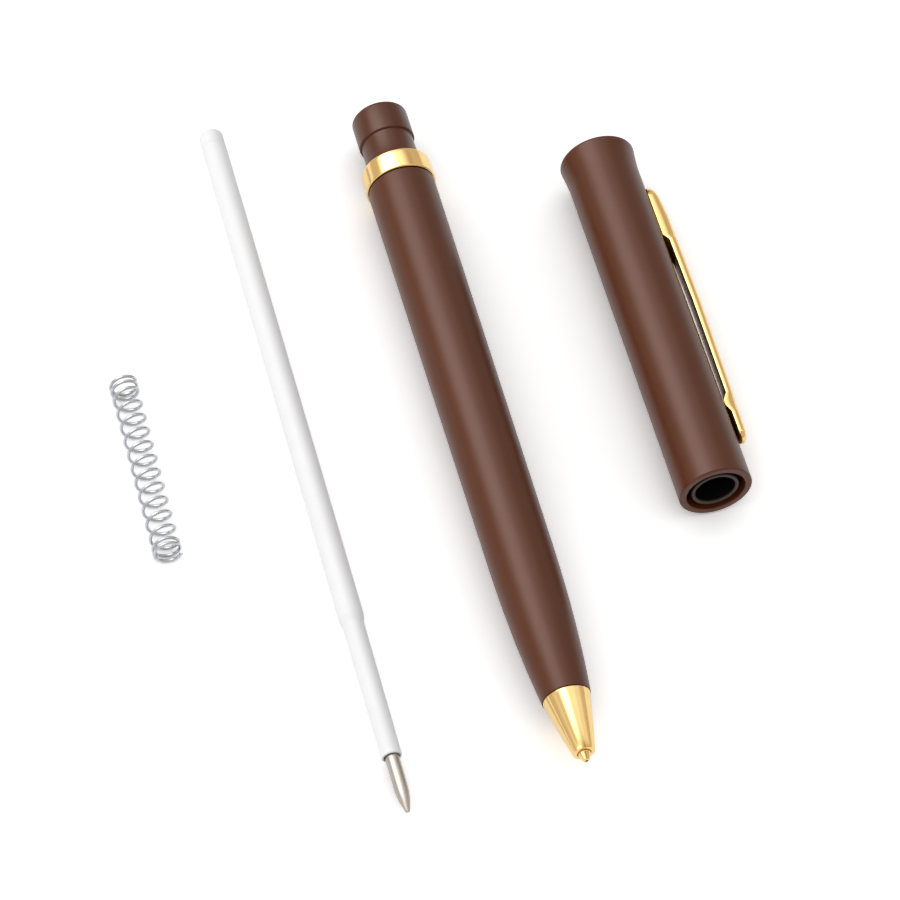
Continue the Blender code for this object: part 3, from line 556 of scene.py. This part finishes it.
noseCone = {
    "steps": 128, "start": 1.0, "end": 8.28, "base": 8.22, "rimRadius": 1.24, "baseRadius": 2.78, "power": 0.9,
    "rimEdge": 0.1, "baseEdge": 0.05, "lip": 0.82, "lipEnd": 1.35, "lipEdge": 0.05, "hole": 1.0,
    "spigot": 2.35, "spigotEnd": 13.38, "spigotEdge": 0.1, "springSeat": 6.4, "springBore": 1.93,
    "baseRun": 0.3, "rimRun": 0.35, "rings": 22,
}


def makeNoseCone(size):
    def radius(height):
        share = (height - size["start"]) / (size["end"] - size["start"])
        return size["rimRadius"] + (size["baseRadius"] - size["rimRadius"]) * share ** size["power"]

    corners = [
        (size["spigot"], size["spigotEnd"], size["spigotEdge"]),
        (size["spigot"], size["base"]),
        (radius(size["base"]), size["base"], size["baseEdge"]),
    ]
    for height in spread(size["base"] - size["baseRun"], size["start"] + size["rimRun"], size["rings"]):
        corners.append((radius(height), height))
    corners += [
        (size["rimRadius"], size["start"], size["rimEdge"]),
        (size["lip"], size["start"], size["lipEdge"]),
        (size["lip"], size["lipEnd"]),
        (size["hole"], size["lipEnd"]),
        (size["hole"], size["springSeat"]),
        (size["springBore"], size["springSeat"]),
        (size["springBore"], size["spigotEnd"]),
    ]
    piece = turnPiece("noseCone", corners, lowerAxis, size["steps"], finishes["turnedGold"])
    fit(piece, "lower_barrel", "nose_cone")


pointBush = {
    "steps": 64, "body": 0.96, "back": 3.2, "shoulder": 1.41, "radius": 0.74, "coneStart": 0.95, "coneCurve": 0.5,
    "end": 0.02, "endRadius": 0.38, "endEdge": 0.12, "hole": 0.17, "lip": 0.06, "tipReach": 0.18, "tipFit": 0.03,
    "bodyEdge": 0.03, "rings": 14,
}


def makePointBush(size):
    corners = [
        (size["body"], size["back"], size["bodyEdge"]),
        (size["body"], size["shoulder"], size["bodyEdge"]),
        (size["radius"], size["shoulder"]),
        (size["radius"], size["coneStart"], size["coneCurve"]),
        (size["endRadius"], size["end"], size["endEdge"]),
        (size["hole"], size["end"]),
        (size["hole"], size["end"] + size["lip"]),
    ]
    for height in spread(size["end"] + size["lip"], size["back"], size["rings"]):
        corners.append((tipRadius(refillTip, height + size["tipReach"]) + size["tipFit"], height))
    piece = turnPiece("pointBush", corners, lowerAxis, size["steps"], finishes["turnedGold"])
    fit(piece, "lower_barrel", "point_bush")


centreRing = {
    "steps": 128, "start": 82.56, "end": 85.31, "radius": 4.37, "bore": 3.34, "edge": 0.16, "crown": 0.02,
    "boreEdge": 0.05, "edgeRun": 0.4, "rings": 8,
}


def makeCentreRing(size):
    middle = (size["start"] + size["end"]) / 2
    half = (size["end"] - size["start"]) / 2
    corners = [(size["radius"] - size["crown"], size["end"], size["edge"])]
    for height in spread(size["end"] - size["edgeRun"], size["start"] + size["edgeRun"], size["rings"]):
        drop = size["crown"] * ((height - middle) / half) ** 2
        corners.append((size["radius"] - drop, height))
    corners += [
        (size["radius"] - size["crown"], size["start"], size["edge"]),
        (size["bore"], size["start"], size["boreEdge"]),
        (size["bore"], size["end"], size["boreEdge"]),
    ]
    piece = turnPiece("centreRing", corners, lowerAxis, size["steps"], finishes["turnedGold"])
    fit(piece, "lower_barrel", "centre_ring")


connector = {
    "steps": 128, "foot": 85.37, "end": 93.82, "radius": 3.48, "bulgeStart": 89.52, "neckDepth": 0.26,
    "neckCurve": 2.8, "topEdge": 0.55, "lipEdge": 0.2, "grooveEdge": 0.06, "footEdge": 0.06, "spigot": 3.3,
    "spigotStart": 70.5, "spigotEdge": 0.1, "bore": 2.91, "boreEdge": 0.12, "grooveRun": 0.6, "footRun": 0.4,
    "rings": 12,
}


def makeConnector(size):
    neck = size["radius"] - size["neckDepth"]
    corners = [
        (size["radius"], size["end"], size["topEdge"]),
        (size["radius"], size["bulgeStart"], size["lipEdge"]),
        (neck, size["bulgeStart"], size["grooveEdge"]),
    ]
    for height in spread(size["bulgeStart"] - size["grooveRun"], size["foot"] + size["footRun"], size["rings"]):
        share = (size["bulgeStart"] - height) / (size["bulgeStart"] - size["foot"])
        corners.append((neck + size["neckDepth"] * share ** size["neckCurve"], height))
    corners += [
        (size["radius"], size["foot"], size["footEdge"]),
        (size["spigot"], size["foot"]),
        (size["spigot"], size["spigotStart"], size["spigotEdge"]),
        (size["bore"], size["spigotStart"]),
        (size["bore"], size["end"], size["boreEdge"]),
    ]
    piece = turnPiece("connectorStub", corners, lowerAxis, size["steps"], finishes["stub"])
    fit(piece, "lower_barrel", "connector")


upperBarrel = {
    "steps": 144, "length": 50.3, "mouthRadius": 4.4, "midRadius": 4.38, "mid": 42.3, "flareStart": 46.3,
    "topRadius": 4.67, "flarePower": 1.6, "topEdge": 0.4, "mouthEdge": 0.22, "boreEdge": 0.12, "bore": 3.53,
    "seat": 47.7, "seatRadius": 4.01, "slotLow": 41.0, "slotHigh": 43.4, "slotHalf": 0.97, "slotInner": 2.55,
    "seatEdge": 0.05, "flareRun": 0.6, "flareRings": 26, "mouthRun": 1.0, "bodyRings": 8,
    "boreShadeEdge": 0.09,  # how far past the bore the painted bore shade reaches
}


def makeUpperBarrel(size):
    def radius(height):
        share = min(height / size["mid"], 1.0)
        plain = size["mouthRadius"] + (size["midRadius"] - size["mouthRadius"]) * share
        run = size["length"] - size["topEdge"] - size["flareStart"]
        share = min(max((height - size["flareStart"]) / run, 0.0), 1.0)
        return plain + (size["topRadius"] - size["midRadius"]) * share ** size["flarePower"]

    corners = [(size["topRadius"], size["length"], size["topEdge"])]
    heights = spread(size["length"] - size["flareRun"], size["flareStart"], size["flareRings"])
    heights += spread(size["mid"], size["mouthRun"], size["bodyRings"])
    corners += [(radius(height), height) for height in heights]
    corners += [
        (size["mouthRadius"], 0.0, size["mouthEdge"]),
        (size["bore"], 0.0, size["boreEdge"]),
        (size["bore"], size["seat"]),
        (size["seatRadius"], size["seat"]),
        (size["seatRadius"], size["length"], size["seatEdge"]),
    ]
    piece = turnPiece("upperBarrel", corners, upperAxis, size["steps"], finishes["lacquer"])
    low = (
        (upperAxis["x"] + size["slotInner"]) * mm,
        (upperAxis["y"] + size["slotLow"]) * mm,
        (upperAxis["z"] - size["slotHalf"]) * mm,
    )
    high = (
        (upperAxis["x"] + 2 * size["topRadius"]) * mm,
        (upperAxis["y"] + size["slotHigh"]) * mm,
        (upperAxis["z"] + size["slotHalf"]) * mm,
    )
    addBox(piece, low, high)
    piece.data.materials.append(finishes["bore"])
    # painted shade: the bore, and a thin rim of the mouth past it, take the near-black bore finish
    for face in piece.data.polygons:
        across = math.hypot(face.center.x - upperAxis["x"] * mm, face.center.z - upperAxis["z"] * mm)
        if across < (size["bore"] + size["boreShadeEdge"]) * mm:
            face.material_index = 1
    fit(piece, "upper_barrel", "upper_barrel")


finial = {
    "steps": 144, "seatTop": 50.3, "crown": 0.5, "radius": 3.97, "edge": 0.3, "flangeStart": 47.76,
    "flangeEdge": 0.1, "spigot": 2.21, "spigotStart": 40.76, "spigotEdge": 0.2,
    "domeStart": 0.4, "domeRim": 0.45, "domeRings": 12, "domeDrop": 0.72, "domePower": 2.6, "rimRise": 0.16,
}


def makeFinial(size):
    corners = [(0.0, size["seatTop"] + size["crown"])]
    for across in spread(size["domeStart"], size["radius"] - size["domeRim"], size["domeRings"]):
        drop = size["crown"] * size["domeDrop"] * (across / size["radius"]) ** size["domePower"]
        corners.append((across, size["seatTop"] + size["crown"] - drop))
    corners += [
        (size["radius"], size["seatTop"] + size["crown"] * size["rimRise"], size["edge"]),
        (size["radius"], size["flangeStart"], size["flangeEdge"]),
        (size["spigot"], size["flangeStart"]),
        (size["spigot"], size["spigotStart"], size["spigotEdge"]),
        (0.0, size["spigotStart"]),
    ]
    piece = turnPiece("finialCap", corners, upperAxis, size["steps"], finishes["lacquer"], closed=False)
    fit(piece, "upper_barrel", "finial")


sleeve = {
    "steps": 112, "end": 30.83, "flangeStart": 29.83, "flange": 3.37, "radius": 2.86, "bore": 2.4,
    "start": 0.25, "edge": 0.1, "rimEdge": 0.16, "slotHalf": 0.53, "slotLow": 20.63, "slotHigh": 28.13,
}


def makeSleeve(size):
    corners = [
        (size["flange"], size["end"], size["edge"]),
        (size["flange"], size["flangeStart"], size["edge"]),
        (size["radius"], size["flangeStart"]),
        (size["radius"], size["start"], size["edge"]),
        (size["bore"], size["start"], size["rimEdge"]),
        (size["bore"], size["end"], size["edge"]),
    ]
    piece = turnPiece("sleeveTube", corners, upperAxis, size["steps"], finishes["smoke"])
    reach = 2 * size["radius"]
    addBox(
        piece,
        ((upperAxis["x"] - size["slotHalf"]) * mm, (upperAxis["y"] + size["slotLow"]) * mm, -reach * mm),
        ((upperAxis["x"] + size["slotHalf"]) * mm, (upperAxis["y"] + size["slotHigh"]) * mm,
         (upperAxis["z"] + reach) * mm),
    )
    fit(piece, "sleeve", "sleeve")


clip = {
    "halfWidth": 1.2, "edge": 0.2, "squareness": 0.77, "seatSquareness": 0.74, "top": 44.2, "topRound": 1.8,
    "tip": 5.8, "tipRound": 1.1, "tipCentre": 0.4, "seatedEdge": 0.7, "edgeShare": 0.4,
    "outer": [
        (5.40, 44.3), (5.75, 41.8, 4.0), (5.97, 39.0, 8.0), (6.00, 35.0, 10.0), (6.06, 26.0, 20.0),
        (5.90, 15.0, 20.0), (5.68, 5.0),
    ],
    "inner": [
        (4.50, 44.3), (4.445, 43.0), (4.443, 36.4, 0.1), (4.82, 35.6, 0.25), (4.94, 26.0, 20.0), (4.82, 12.4, 0.25),
        (4.455, 11.25, 0.25), (4.455, 10.75, 0.25), (4.70, 9.6, 0.25), (4.70, 5.0),
    ],
    "rootEnd": 36.4, "notch": 0.8, "slant": 2.2, "slantFrom": 30.0, "round": 4.443,
    "bump": 11.0, "bumpFlat": 0.5, "bumpRamp": 0.9,
    "step": 0.1, "endSteps": 14, "arcSteps": 28, "edgeSteps": 4, "edgeGold": 0.9, "flatSteps": 10,
    "tangLow": (2.83, 41.33, -0.91), "tangHigh": (4.7, 43.07, 0.91),
    "shadeLow": 12.0, "shadeHigh": 33.0, "shadeFade": 1.5, "lip": 0.26, "lipTop": 7.1, "lipRun": 0.5,
    "bareStart": 6.0, "bareRise": 0.7, "bareFade": 0.3,
}


def makeClip(size):
    outer = roundCorners(size["outer"], False)
    inner = roundCorners(size["inner"], False)
    topStart = size["top"] - size["topRound"]
    tipStart = size["tip"] + size["tipRound"]

    def across(path, height):
        for high, low in zip(path, path[1:]):
            if high.y >= height >= low.y:
                return low.x + (high.x - low.x) * (height - low.y) / max(high.y - low.y, 1e-6)

    def seated(height):
        # how far the inner face follows the barrel's round: wholly at the root and the bump
        root = (height - size["rootEnd"]) / size["notch"] + 1
        bump = 1 - (abs(height - size["bump"]) - size["bumpFlat"]) / size["bumpRamp"]
        return min(max(root, bump, 0.0), 1.0)

    def lower(level):
        return 0.5 - 0.5 * level / size["halfWidth"]

    def backShade(height, level):
        # painted shade: the back is dark towards both ends, and along its upper edge between them, and grey along
        # its lower edge; the tip's lip is gold
        inside = min(height - size["shadeLow"], size["shadeHigh"] - height) / size["shadeFade"]
        dark = 1 - min(max(inside, 0.0), 1.0) * min(max(lower(level), 0.0), 1.0)
        bare = (height - size["bareStart"] - size["bareRise"] * lower(level)) / size["bareFade"]
        return (0.5 + 0.5 * dark) * min(max(bare, 0.0), 1.0)

    def section(height):
        # a flat inner face and a rounded outer one, smaller towards both ends
        low = across(inner, height)
        thick = across(outer, height) - low
        over = max((height - topStart) / size["topRound"], 0.0)
        under = max((tipStart - height) / size["tipRound"], 0.0)
        full = math.sqrt(max(1 - over ** 2 - under ** 2, 0.0))
        if under:
            low += size["tipCentre"] * thick * (1 - full)
        thick *= full
        half = size["halfWidth"] * full
        follow = seated(height)
        edge = min(size["edge"] * (1 - size["seatedEdge"] * follow), size["edgeShare"] * min(half, thick))
        squareness = size["squareness"] + (size["seatSquareness"] - size["squareness"]) * follow

        def face(level):
            # the inner face, whose lower edge leaves the root further along than its upper edge
            slant = size["slant"] * lower(level) if height > size["slantFrom"] else 0.0
            plain = across(inner, min(height + slant, inner[0].y)) if slant else low
            hollow = size["round"] - math.sqrt(size["round"] ** 2 - level ** 2)
            curl = min(max((size["lipTop"] - height) / size["lipRun"], 0.0), 1.0) * lower(level) * full
            return plain - seated(height + slant) * hollow - size["lip"] * curl

        points = []  # across, level, and how much of the back it is
        for angle in spread(0.0, math.pi, size["arcSteps"]):
            cosine = math.cos(angle)
            start = face(math.copysign(half, cosine)) + edge
            points.append((
                start + (low + thick - start) * abs(math.sin(angle)) ** squareness,
                math.copysign(half * abs(cosine) ** squareness, cosine), 0.0,
            ))
        flat = half - edge
        for angle in spread(0.0, math.pi / 2, size["edgeSteps"])[1:]:
            level = -flat - edge * math.cos(angle)
            share = backShade(height, level) if math.sin(angle) > size["edgeGold"] else 0.0
            points.append((face(level) + edge * (1 - math.sin(angle)), level, share))
        for level in spread(-flat, flat, size["flatSteps"])[1:]:
            points.append((face(level), level, backShade(height, level)))
        for angle in spread(math.pi / 2, 0.0, size["edgeSteps"])[1:-1]:
            level = flat + edge * math.cos(angle)
            share = backShade(height, level) if math.sin(angle) > size["edgeGold"] else 0.0
            points.append((face(level) + edge * (1 - math.sin(angle)), level, share))
        return points

    quarter = spread(math.pi / 2, 0.0, size["endSteps"])
    heights = [topStart + size["topRound"] * math.sin(angle) for angle in quarter]
    heights += spread(topStart, tipStart, round((topStart - tipStart) / size["step"]))[1:-1]
    heights += [tipStart - size["tipRound"] * math.sin(angle) for angle in reversed(quarter)]

    shape = bmesh.new()
    # the back attribute holds how much painted shade each point takes
    back = shape.verts.layers.float.new("back")
    rows = []
    for height in heights:
        rows.append([])
        for x, z, share in section(height):
            rows[-1].append(shape.verts.new((
                (upperAxis["x"] + x) * mm, (upperAxis["y"] + height) * mm, (upperAxis["z"] + z) * mm,
            )))
            rows[-1][-1][back] = share
    for high, low in zip(rows, rows[1:]):
        for index in range(len(high)):
            shape.faces.new((high[index - 1], high[index], low[index], low[index - 1]))
    mesh = bpy.data.meshes.new("clip")
    shape.to_mesh(mesh)
    shape.free()
    mesh.materials.append(finishes["clipGold"])
    piece = plainMesh(newPiece("clipStrip", mesh))
    tang = [
        [(upperAxis[key] + value) * mm for key, value in zip("xyz", corner)]
        for corner in (size["tangLow"], size["tangHigh"])
    ]
    addBox(piece, tang[0], tang[1], "UNION")
    fit(piece, "clip", "clip")


refillTube = {
    "steps": 96, "end": 96.38, "radius": 1.5, "endEdge": 0.02, "shoulderEnd": 26.0, "shoulder": 25.0,
    "shoulderEdge": 0.15, "neck": 1.26, "start": 7.2, "front": 1.19, "frontEdge": 0.12, "mouth": 0.95,
    "mouthEdge": 0.04, "mouthEnd": 7.9, "frontBore": 0.72, "bore": 1.0,
}


def makeRefillTube(size):
    corners = [
        (size["radius"], size["end"], size["endEdge"]),
        (size["radius"], size["shoulderEnd"], size["shoulderEdge"]),
        (size["neck"], size["shoulder"], size["shoulderEdge"]),
        (size["front"], size["start"], size["frontEdge"]),
        (size["mouth"], size["start"], size["mouthEdge"]),
        (size["mouth"], size["mouthEnd"]),
        (size["frontBore"], size["mouthEnd"]),
        (size["frontBore"], size["shoulder"]),
        (size["bore"], size["shoulderEnd"]),
        (size["bore"], size["end"]),
    ]
    piece = turnPiece("refillTube", corners, refillAxis, size["steps"], finishes["white"])
    fit(piece, "refill", "refill_tube")


refillTip = {
    "steps": 80, "spigot": 0.68, "spigotEnd": 11.7, "shoulder": 7.8, "shoulderEdge": 0.05, "radius": 0.82,
    "coneStart": 3.3, "conePower": 1.85, "rim": 0.1, "endRadius": 0.26, "socket": 0.17, "socketEnd": 0.32,
    "channel": 0.1, "spigotEdge": 0.05, "rings": 18,
}


def tipRadius(size, height):
    share = max(size["coneStart"] - height, 0.0) / (size["coneStart"] - size["rim"])
    return size["radius"] - (size["radius"] - size["endRadius"]) * share ** size["conePower"]


def makeRefillTip(size):
    corners = [
        (size["spigot"], size["spigotEnd"], size["spigotEdge"]),
        (size["spigot"], size["shoulder"]),
        (size["radius"], size["shoulder"], size["shoulderEdge"]),
    ]
    for height in spread(size["coneStart"], size["rim"], size["rings"]):
        corners.append((tipRadius(size, height), height))
    corners += [
        (size["socket"], size["rim"]),
        (size["socket"], size["socketEnd"]),
        (size["channel"], size["socketEnd"]),
        (size["channel"], size["spigotEnd"]),
    ]
    piece = turnPiece("refillTip", corners, refillAxis, size["steps"], finishes["nickel"])
    fit(piece, "refill", "refill_tip")


writingBall = {"steps": 48, "radius": 0.15, "centre": 0.15, "arc": 24}


def makeWritingBall(size):
    corners = []
    for angle in spread(0.0, math.pi, size["arc"]):
        across = size["radius"] * math.sin(angle) if 0.0 < angle < math.pi else 0.0
        corners.append((across, size["centre"] + size["radius"] * math.cos(angle)))
    piece = turnPiece("writingBall", corners, refillAxis, size["steps"], finishes["steel"], closed=False)
    fit(piece, "refill", "writing_ball")


tailPlug = {
    "steps": 96, "end": 98.6, "start": 96.4, "radius": 1.49, "edge": 0.7, "plug": 0.96, "plugStart": 91.9,
    "vent": 0.25, "startEdge": 0.02, "plugEdge": 0.1, "ventEdge": 0.06,
}


def makeTailPlug(size):
    corners = [
        (size["radius"], size["end"], size["edge"]),
        (size["radius"], size["start"], size["startEdge"]),
        (size["plug"], size["start"]),
        (size["plug"], size["plugStart"], size["plugEdge"]),
        (size["vent"], size["plugStart"]),
        (size["vent"], size["end"], size["ventEdge"]),
    ]
    piece = turnPiece("tailPlug", corners, refillAxis, size["steps"], finishes["white"])
    fit(piece, "refill", "tail_plug")


spring = {
    "pointsATurn": 40, "endTurns": 2.0, "endPitch": 0.72, "activeTurns": 11.0, "activePitch": 2.0, "radius": 1.55,
    "wire": 0.2, "wireSides": 16, "length": 24.88, "travel": 6.0,
}


def makeSpring(size):
    piece = newPiece("returnSpring", bpy.data.meshes.new("returnSpring"))
    modifier = piece.modifiers.new("wind", "NODES")
    modifier.node_group = springTree
    turns = 2 * size["endTurns"] + size["activeTurns"]
    setInputs(modifier, {
        "Points": round(turns * size["pointsATurn"]) + 1,
        "End Turns": size["endTurns"], "End Pitch": size["endPitch"] * mm,
        "Active Turns": size["activeTurns"], "Active Pitch": size["activePitch"] * mm,
        "Radius": size["radius"] * mm, "Wire": size["wire"] * mm, "Wire Sides": size["wireSides"],
        "Axis X": springAxis["x"] * mm, "Axis Z": springAxis["z"] * mm, "Start Y": springAxis["y"] * mm,
        "Finish": finishes["wire"],
    })
    plainMesh(piece)
    fit(piece, "spring", "spring")
    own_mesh(piece)


makeLowerBarrel(lowerBarrel)
makeNoseCone(noseCone)
makePointBush(pointBush)
makeCentreRing(centreRing)
makeConnector(connector)
makeUpperBarrel(upperBarrel)
makeFinial(finial)
makeSleeve(sleeve)
makeClip(clip)
makeRefillTube(refillTube)
makeRefillTip(refillTip)
makeWritingBall(writingBall)
makeTailPlug(tailPlug)
makeSpring(spring)

# Inner pieces whose solids are right keep them and get a finish.
innerFinishes = {
    "clip_bush": "brass", "guide_bush": "brass", "friction_ring": "rubber", "cam_ring": "white",
    "plunger": "white", "follower_pin": "steel", "ink_column": "ink", "ink_follower": "grease",
}
for node, finish in innerFinishes.items():
    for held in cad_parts[node].material_slots:
        held.material = finishes[finish]
print("inner pieces finished:", len(innerFinishes))


# Stage, light and camera. A lamp or card is given by its place, width across, height along Y, and radiance.
studio = {
    "floorSize": 6.0, "floorDrop": 0.02 * mm, "floorTone": 0.92, "floorMirrored": 1.58, "floorSeen": 1.79,
    "world": 0.72, "fill": (1.0, 0.89, 0.80, 1.0),  # the room's tone in reflections
    "lamps": [  # light the pieces, not the table, and aren't reflected
        ((-0.58, 0.20, 0.58), 0.60, 0.60, 2.85),
    ],
    "cards": [  # only the camera's reflections see them
        ((-0.273, 0.357, 0.613), 0.90, 0.62, 4.6),
        ((0.078, 0.395, 0.738), 1.00, 0.68, 1.70),
        ((-0.168, 0.091, 0.673), 0.64, 0.25, 3.8),
        ((0.267, 0.094, 0.662), 0.90, 0.25, 1.36),
        ((-0.466, -0.187, 0.596), 1.18, 0.36, 2.2),
        ((0.234, -0.187, 0.720), 0.24, 0.36, 0.3),
        ((0.511, 0.400, 0.468), 0.22, 0.40, 0.58),
        ((0.62, 0.43, 0.25), 0.46, 0.46, 0.70),
        ((0.55, 0.08, 0.45), 0.50, 0.25, 1.05),
        ((-0.58, 0.05, 0.38), 0.40, 0.25, 0.92),
        ((0.0, 0.80, 0.30), 0.90, 0.40, 0.15),
    ],
    "cardCore": (0.2, 0.55),  # share of a card at its full level, across and along, before it fades out
}


def facing(place, along):
    # looks at the origin, with its height along the given direction
    back = Vector(place).normalized()
    up = (along - back * along.dot(back)).normalized()
    return Matrix((up.cross(back), up, back)).transposed().to_euler()


def softCard(name, size, width, height, level):
    made, board, place = newFinish(name)
    x, y = board.node("ShaderNodeSeparateXYZ", {}, {0: place}, ("X", "Y"))

    def fade(distance, reach, core):
        return board.node("ShaderNodeMapRange", {"interpolation_type": "SMOOTHSTEP"}, {
            "Value": board.maths("ABSOLUTE", distance), "From Min": reach * core, "From Max": reach,
            "To Min": 1.0, "To Max": 0.0,
        })

    across, along = size["cardCore"]
    direct = board.maths("LESS_THAN", board.node("ShaderNodeLightPath", output="Diffuse Depth"), 0.5)
    mixed = board.node("ShaderNodeMixShader", {}, {
        0: direct * fade(x, width / 2, across) * fade(y, height / 2, along),
        1: board.node("ShaderNodeBsdfTransparent"),
        2: board.node("ShaderNodeEmission", {}, {
            "Color": size["fill"] if level < size["world"] else (1.0, 1.0, 1.0, 1.0), "Strength": level,
        }),
    })
    board.node("ShaderNodeOutputMaterial", {}, {"Surface": mixed})
    return made


def makeTable(size):
    # a white table, as bright as a photo's white to the camera and in reflections
    made, board, _ = newFinish("white table")

    def tone(level):
        return board.node("ShaderNodeBsdfDiffuse", {}, {"Color": (level, level, level, 1.0)})

    camera, glossy, through, scattered = board.node(
        "ShaderNodeLightPath", output=("Is Camera Ray", "Is Glossy Ray", "Is Transmission Ray", "Diffuse Depth")
    )
    direct = board.maths("LESS_THAN", scattered, 0.5)
    mirrored = board.node("ShaderNodeMixShader", {}, {
        0: direct * (glossy + through), 1: tone(size["floorTone"]), 2: tone(size["floorMirrored"]),
    })
    seen = board.node("ShaderNodeMixShader", {}, {0: camera, 1: mirrored, 2: tone(size["floorSeen"])})
    board.node("ShaderNodeOutputMaterial", {}, {"Surface": seen})
    return made


def makeStage(size):
    scene = bpy.context.scene
    scene.view_settings.view_transform = "Standard"

    half = size["floorSize"] / 2
    mesh = bpy.data.meshes.new("floor")
    mesh.from_pydata([(-half, -half, 0), (half, -half, 0), (half, half, 0), (-half, half, 0)], [], [(0, 1, 2, 3)])
    floor = newPiece("floor", mesh)
    floor.location.z = -size["floorDrop"]
    floor.data.materials.append(makeTable(size))

    world = bpy.data.worlds.new("studio")
    scene.world = world
    world.use_nodes = True
    world.node_tree.nodes.clear()
    board = Board(world.node_tree)
    glossy, scattered = board.node("ShaderNodeLightPath", output=("Is Glossy Ray", "Diffuse Depth"))
    mirrored = glossy * board.maths("LESS_THAN", scattered, 0.5)
    sky = board.node("ShaderNodeBackground", {}, {
        "Color": board.mixColour(mirrored, (1.0, 1.0, 1.0, 1.0), size["fill"]), "Strength": size["world"],
    })
    board.node("ShaderNodeOutputWorld", {}, {"Surface": sky})

    unlit = bpy.data.collections.new("not lit by lamps")
    unlit.objects.link(floor)
    unlit.collection_objects[0].light_linking.link_state = "EXCLUDE"
    along = Vector((0.0, 1.0, 0.0))
    for index, (place, width, height, radiance) in enumerate(size["lamps"]):
        lamp = bpy.data.lights.new(f"softbox{index}", "AREA")
        lamp.shape = "RECTANGLE"
        lamp.size = width
        lamp.size_y = height
        lamp.energy = radiance * math.pi * width * height
        holder = newPiece(f"softbox{index}", lamp)
        holder.location = place
        holder.rotation_euler = facing(place, along)
        holder.visible_camera = False
        holder.visible_glossy = False
        holder.light_linking.receiver_collection = unlit
    for index, (place, width, height, level) in enumerate(size["cards"]):
        mesh = bpy.data.meshes.new(f"card{index}")
        w, h = width / 2, height / 2
        mesh.from_pydata([(-w, -h, 0), (w, -h, 0), (w, h, 0), (-w, h, 0)], [], [(0, 1, 2, 3)])
        card = newPiece(f"card{index}", mesh)
        card.location = place
        card.rotation_euler = facing(place, along)
        card.data.materials.append(softCard(f"card{index}", size, width, height, level))
        card.visible_camera = False
        card.visible_diffuse = False
        card.visible_shadow = False
    print("stage set:", len(size["lamps"]), "lamps,", len(size["cards"]), "cards")


view = {
    "place": (-0.06424, -0.25358, 0.38467), "target": (0.00182, -0.00266, 0.0), "lens": 157.84, "sensor": 36.0,
    "clipStart": 0.01,
}


def makeCamera(size):
    camera = bpy.data.cameras.new("camera")
    camera.sensor_width = size["sensor"]
    camera.lens = size["lens"]
    camera.clip_start = size["clipStart"]
    holder = newPiece("camera", camera)
    holder.location = size["place"]
    aim = Vector(size["target"]) - Vector(size["place"])
    holder.rotation_euler = aim.to_track_quat("-Z", "Y").to_euler()
    bpy.context.scene.camera = holder


makeStage(studio)
makeCamera(view)
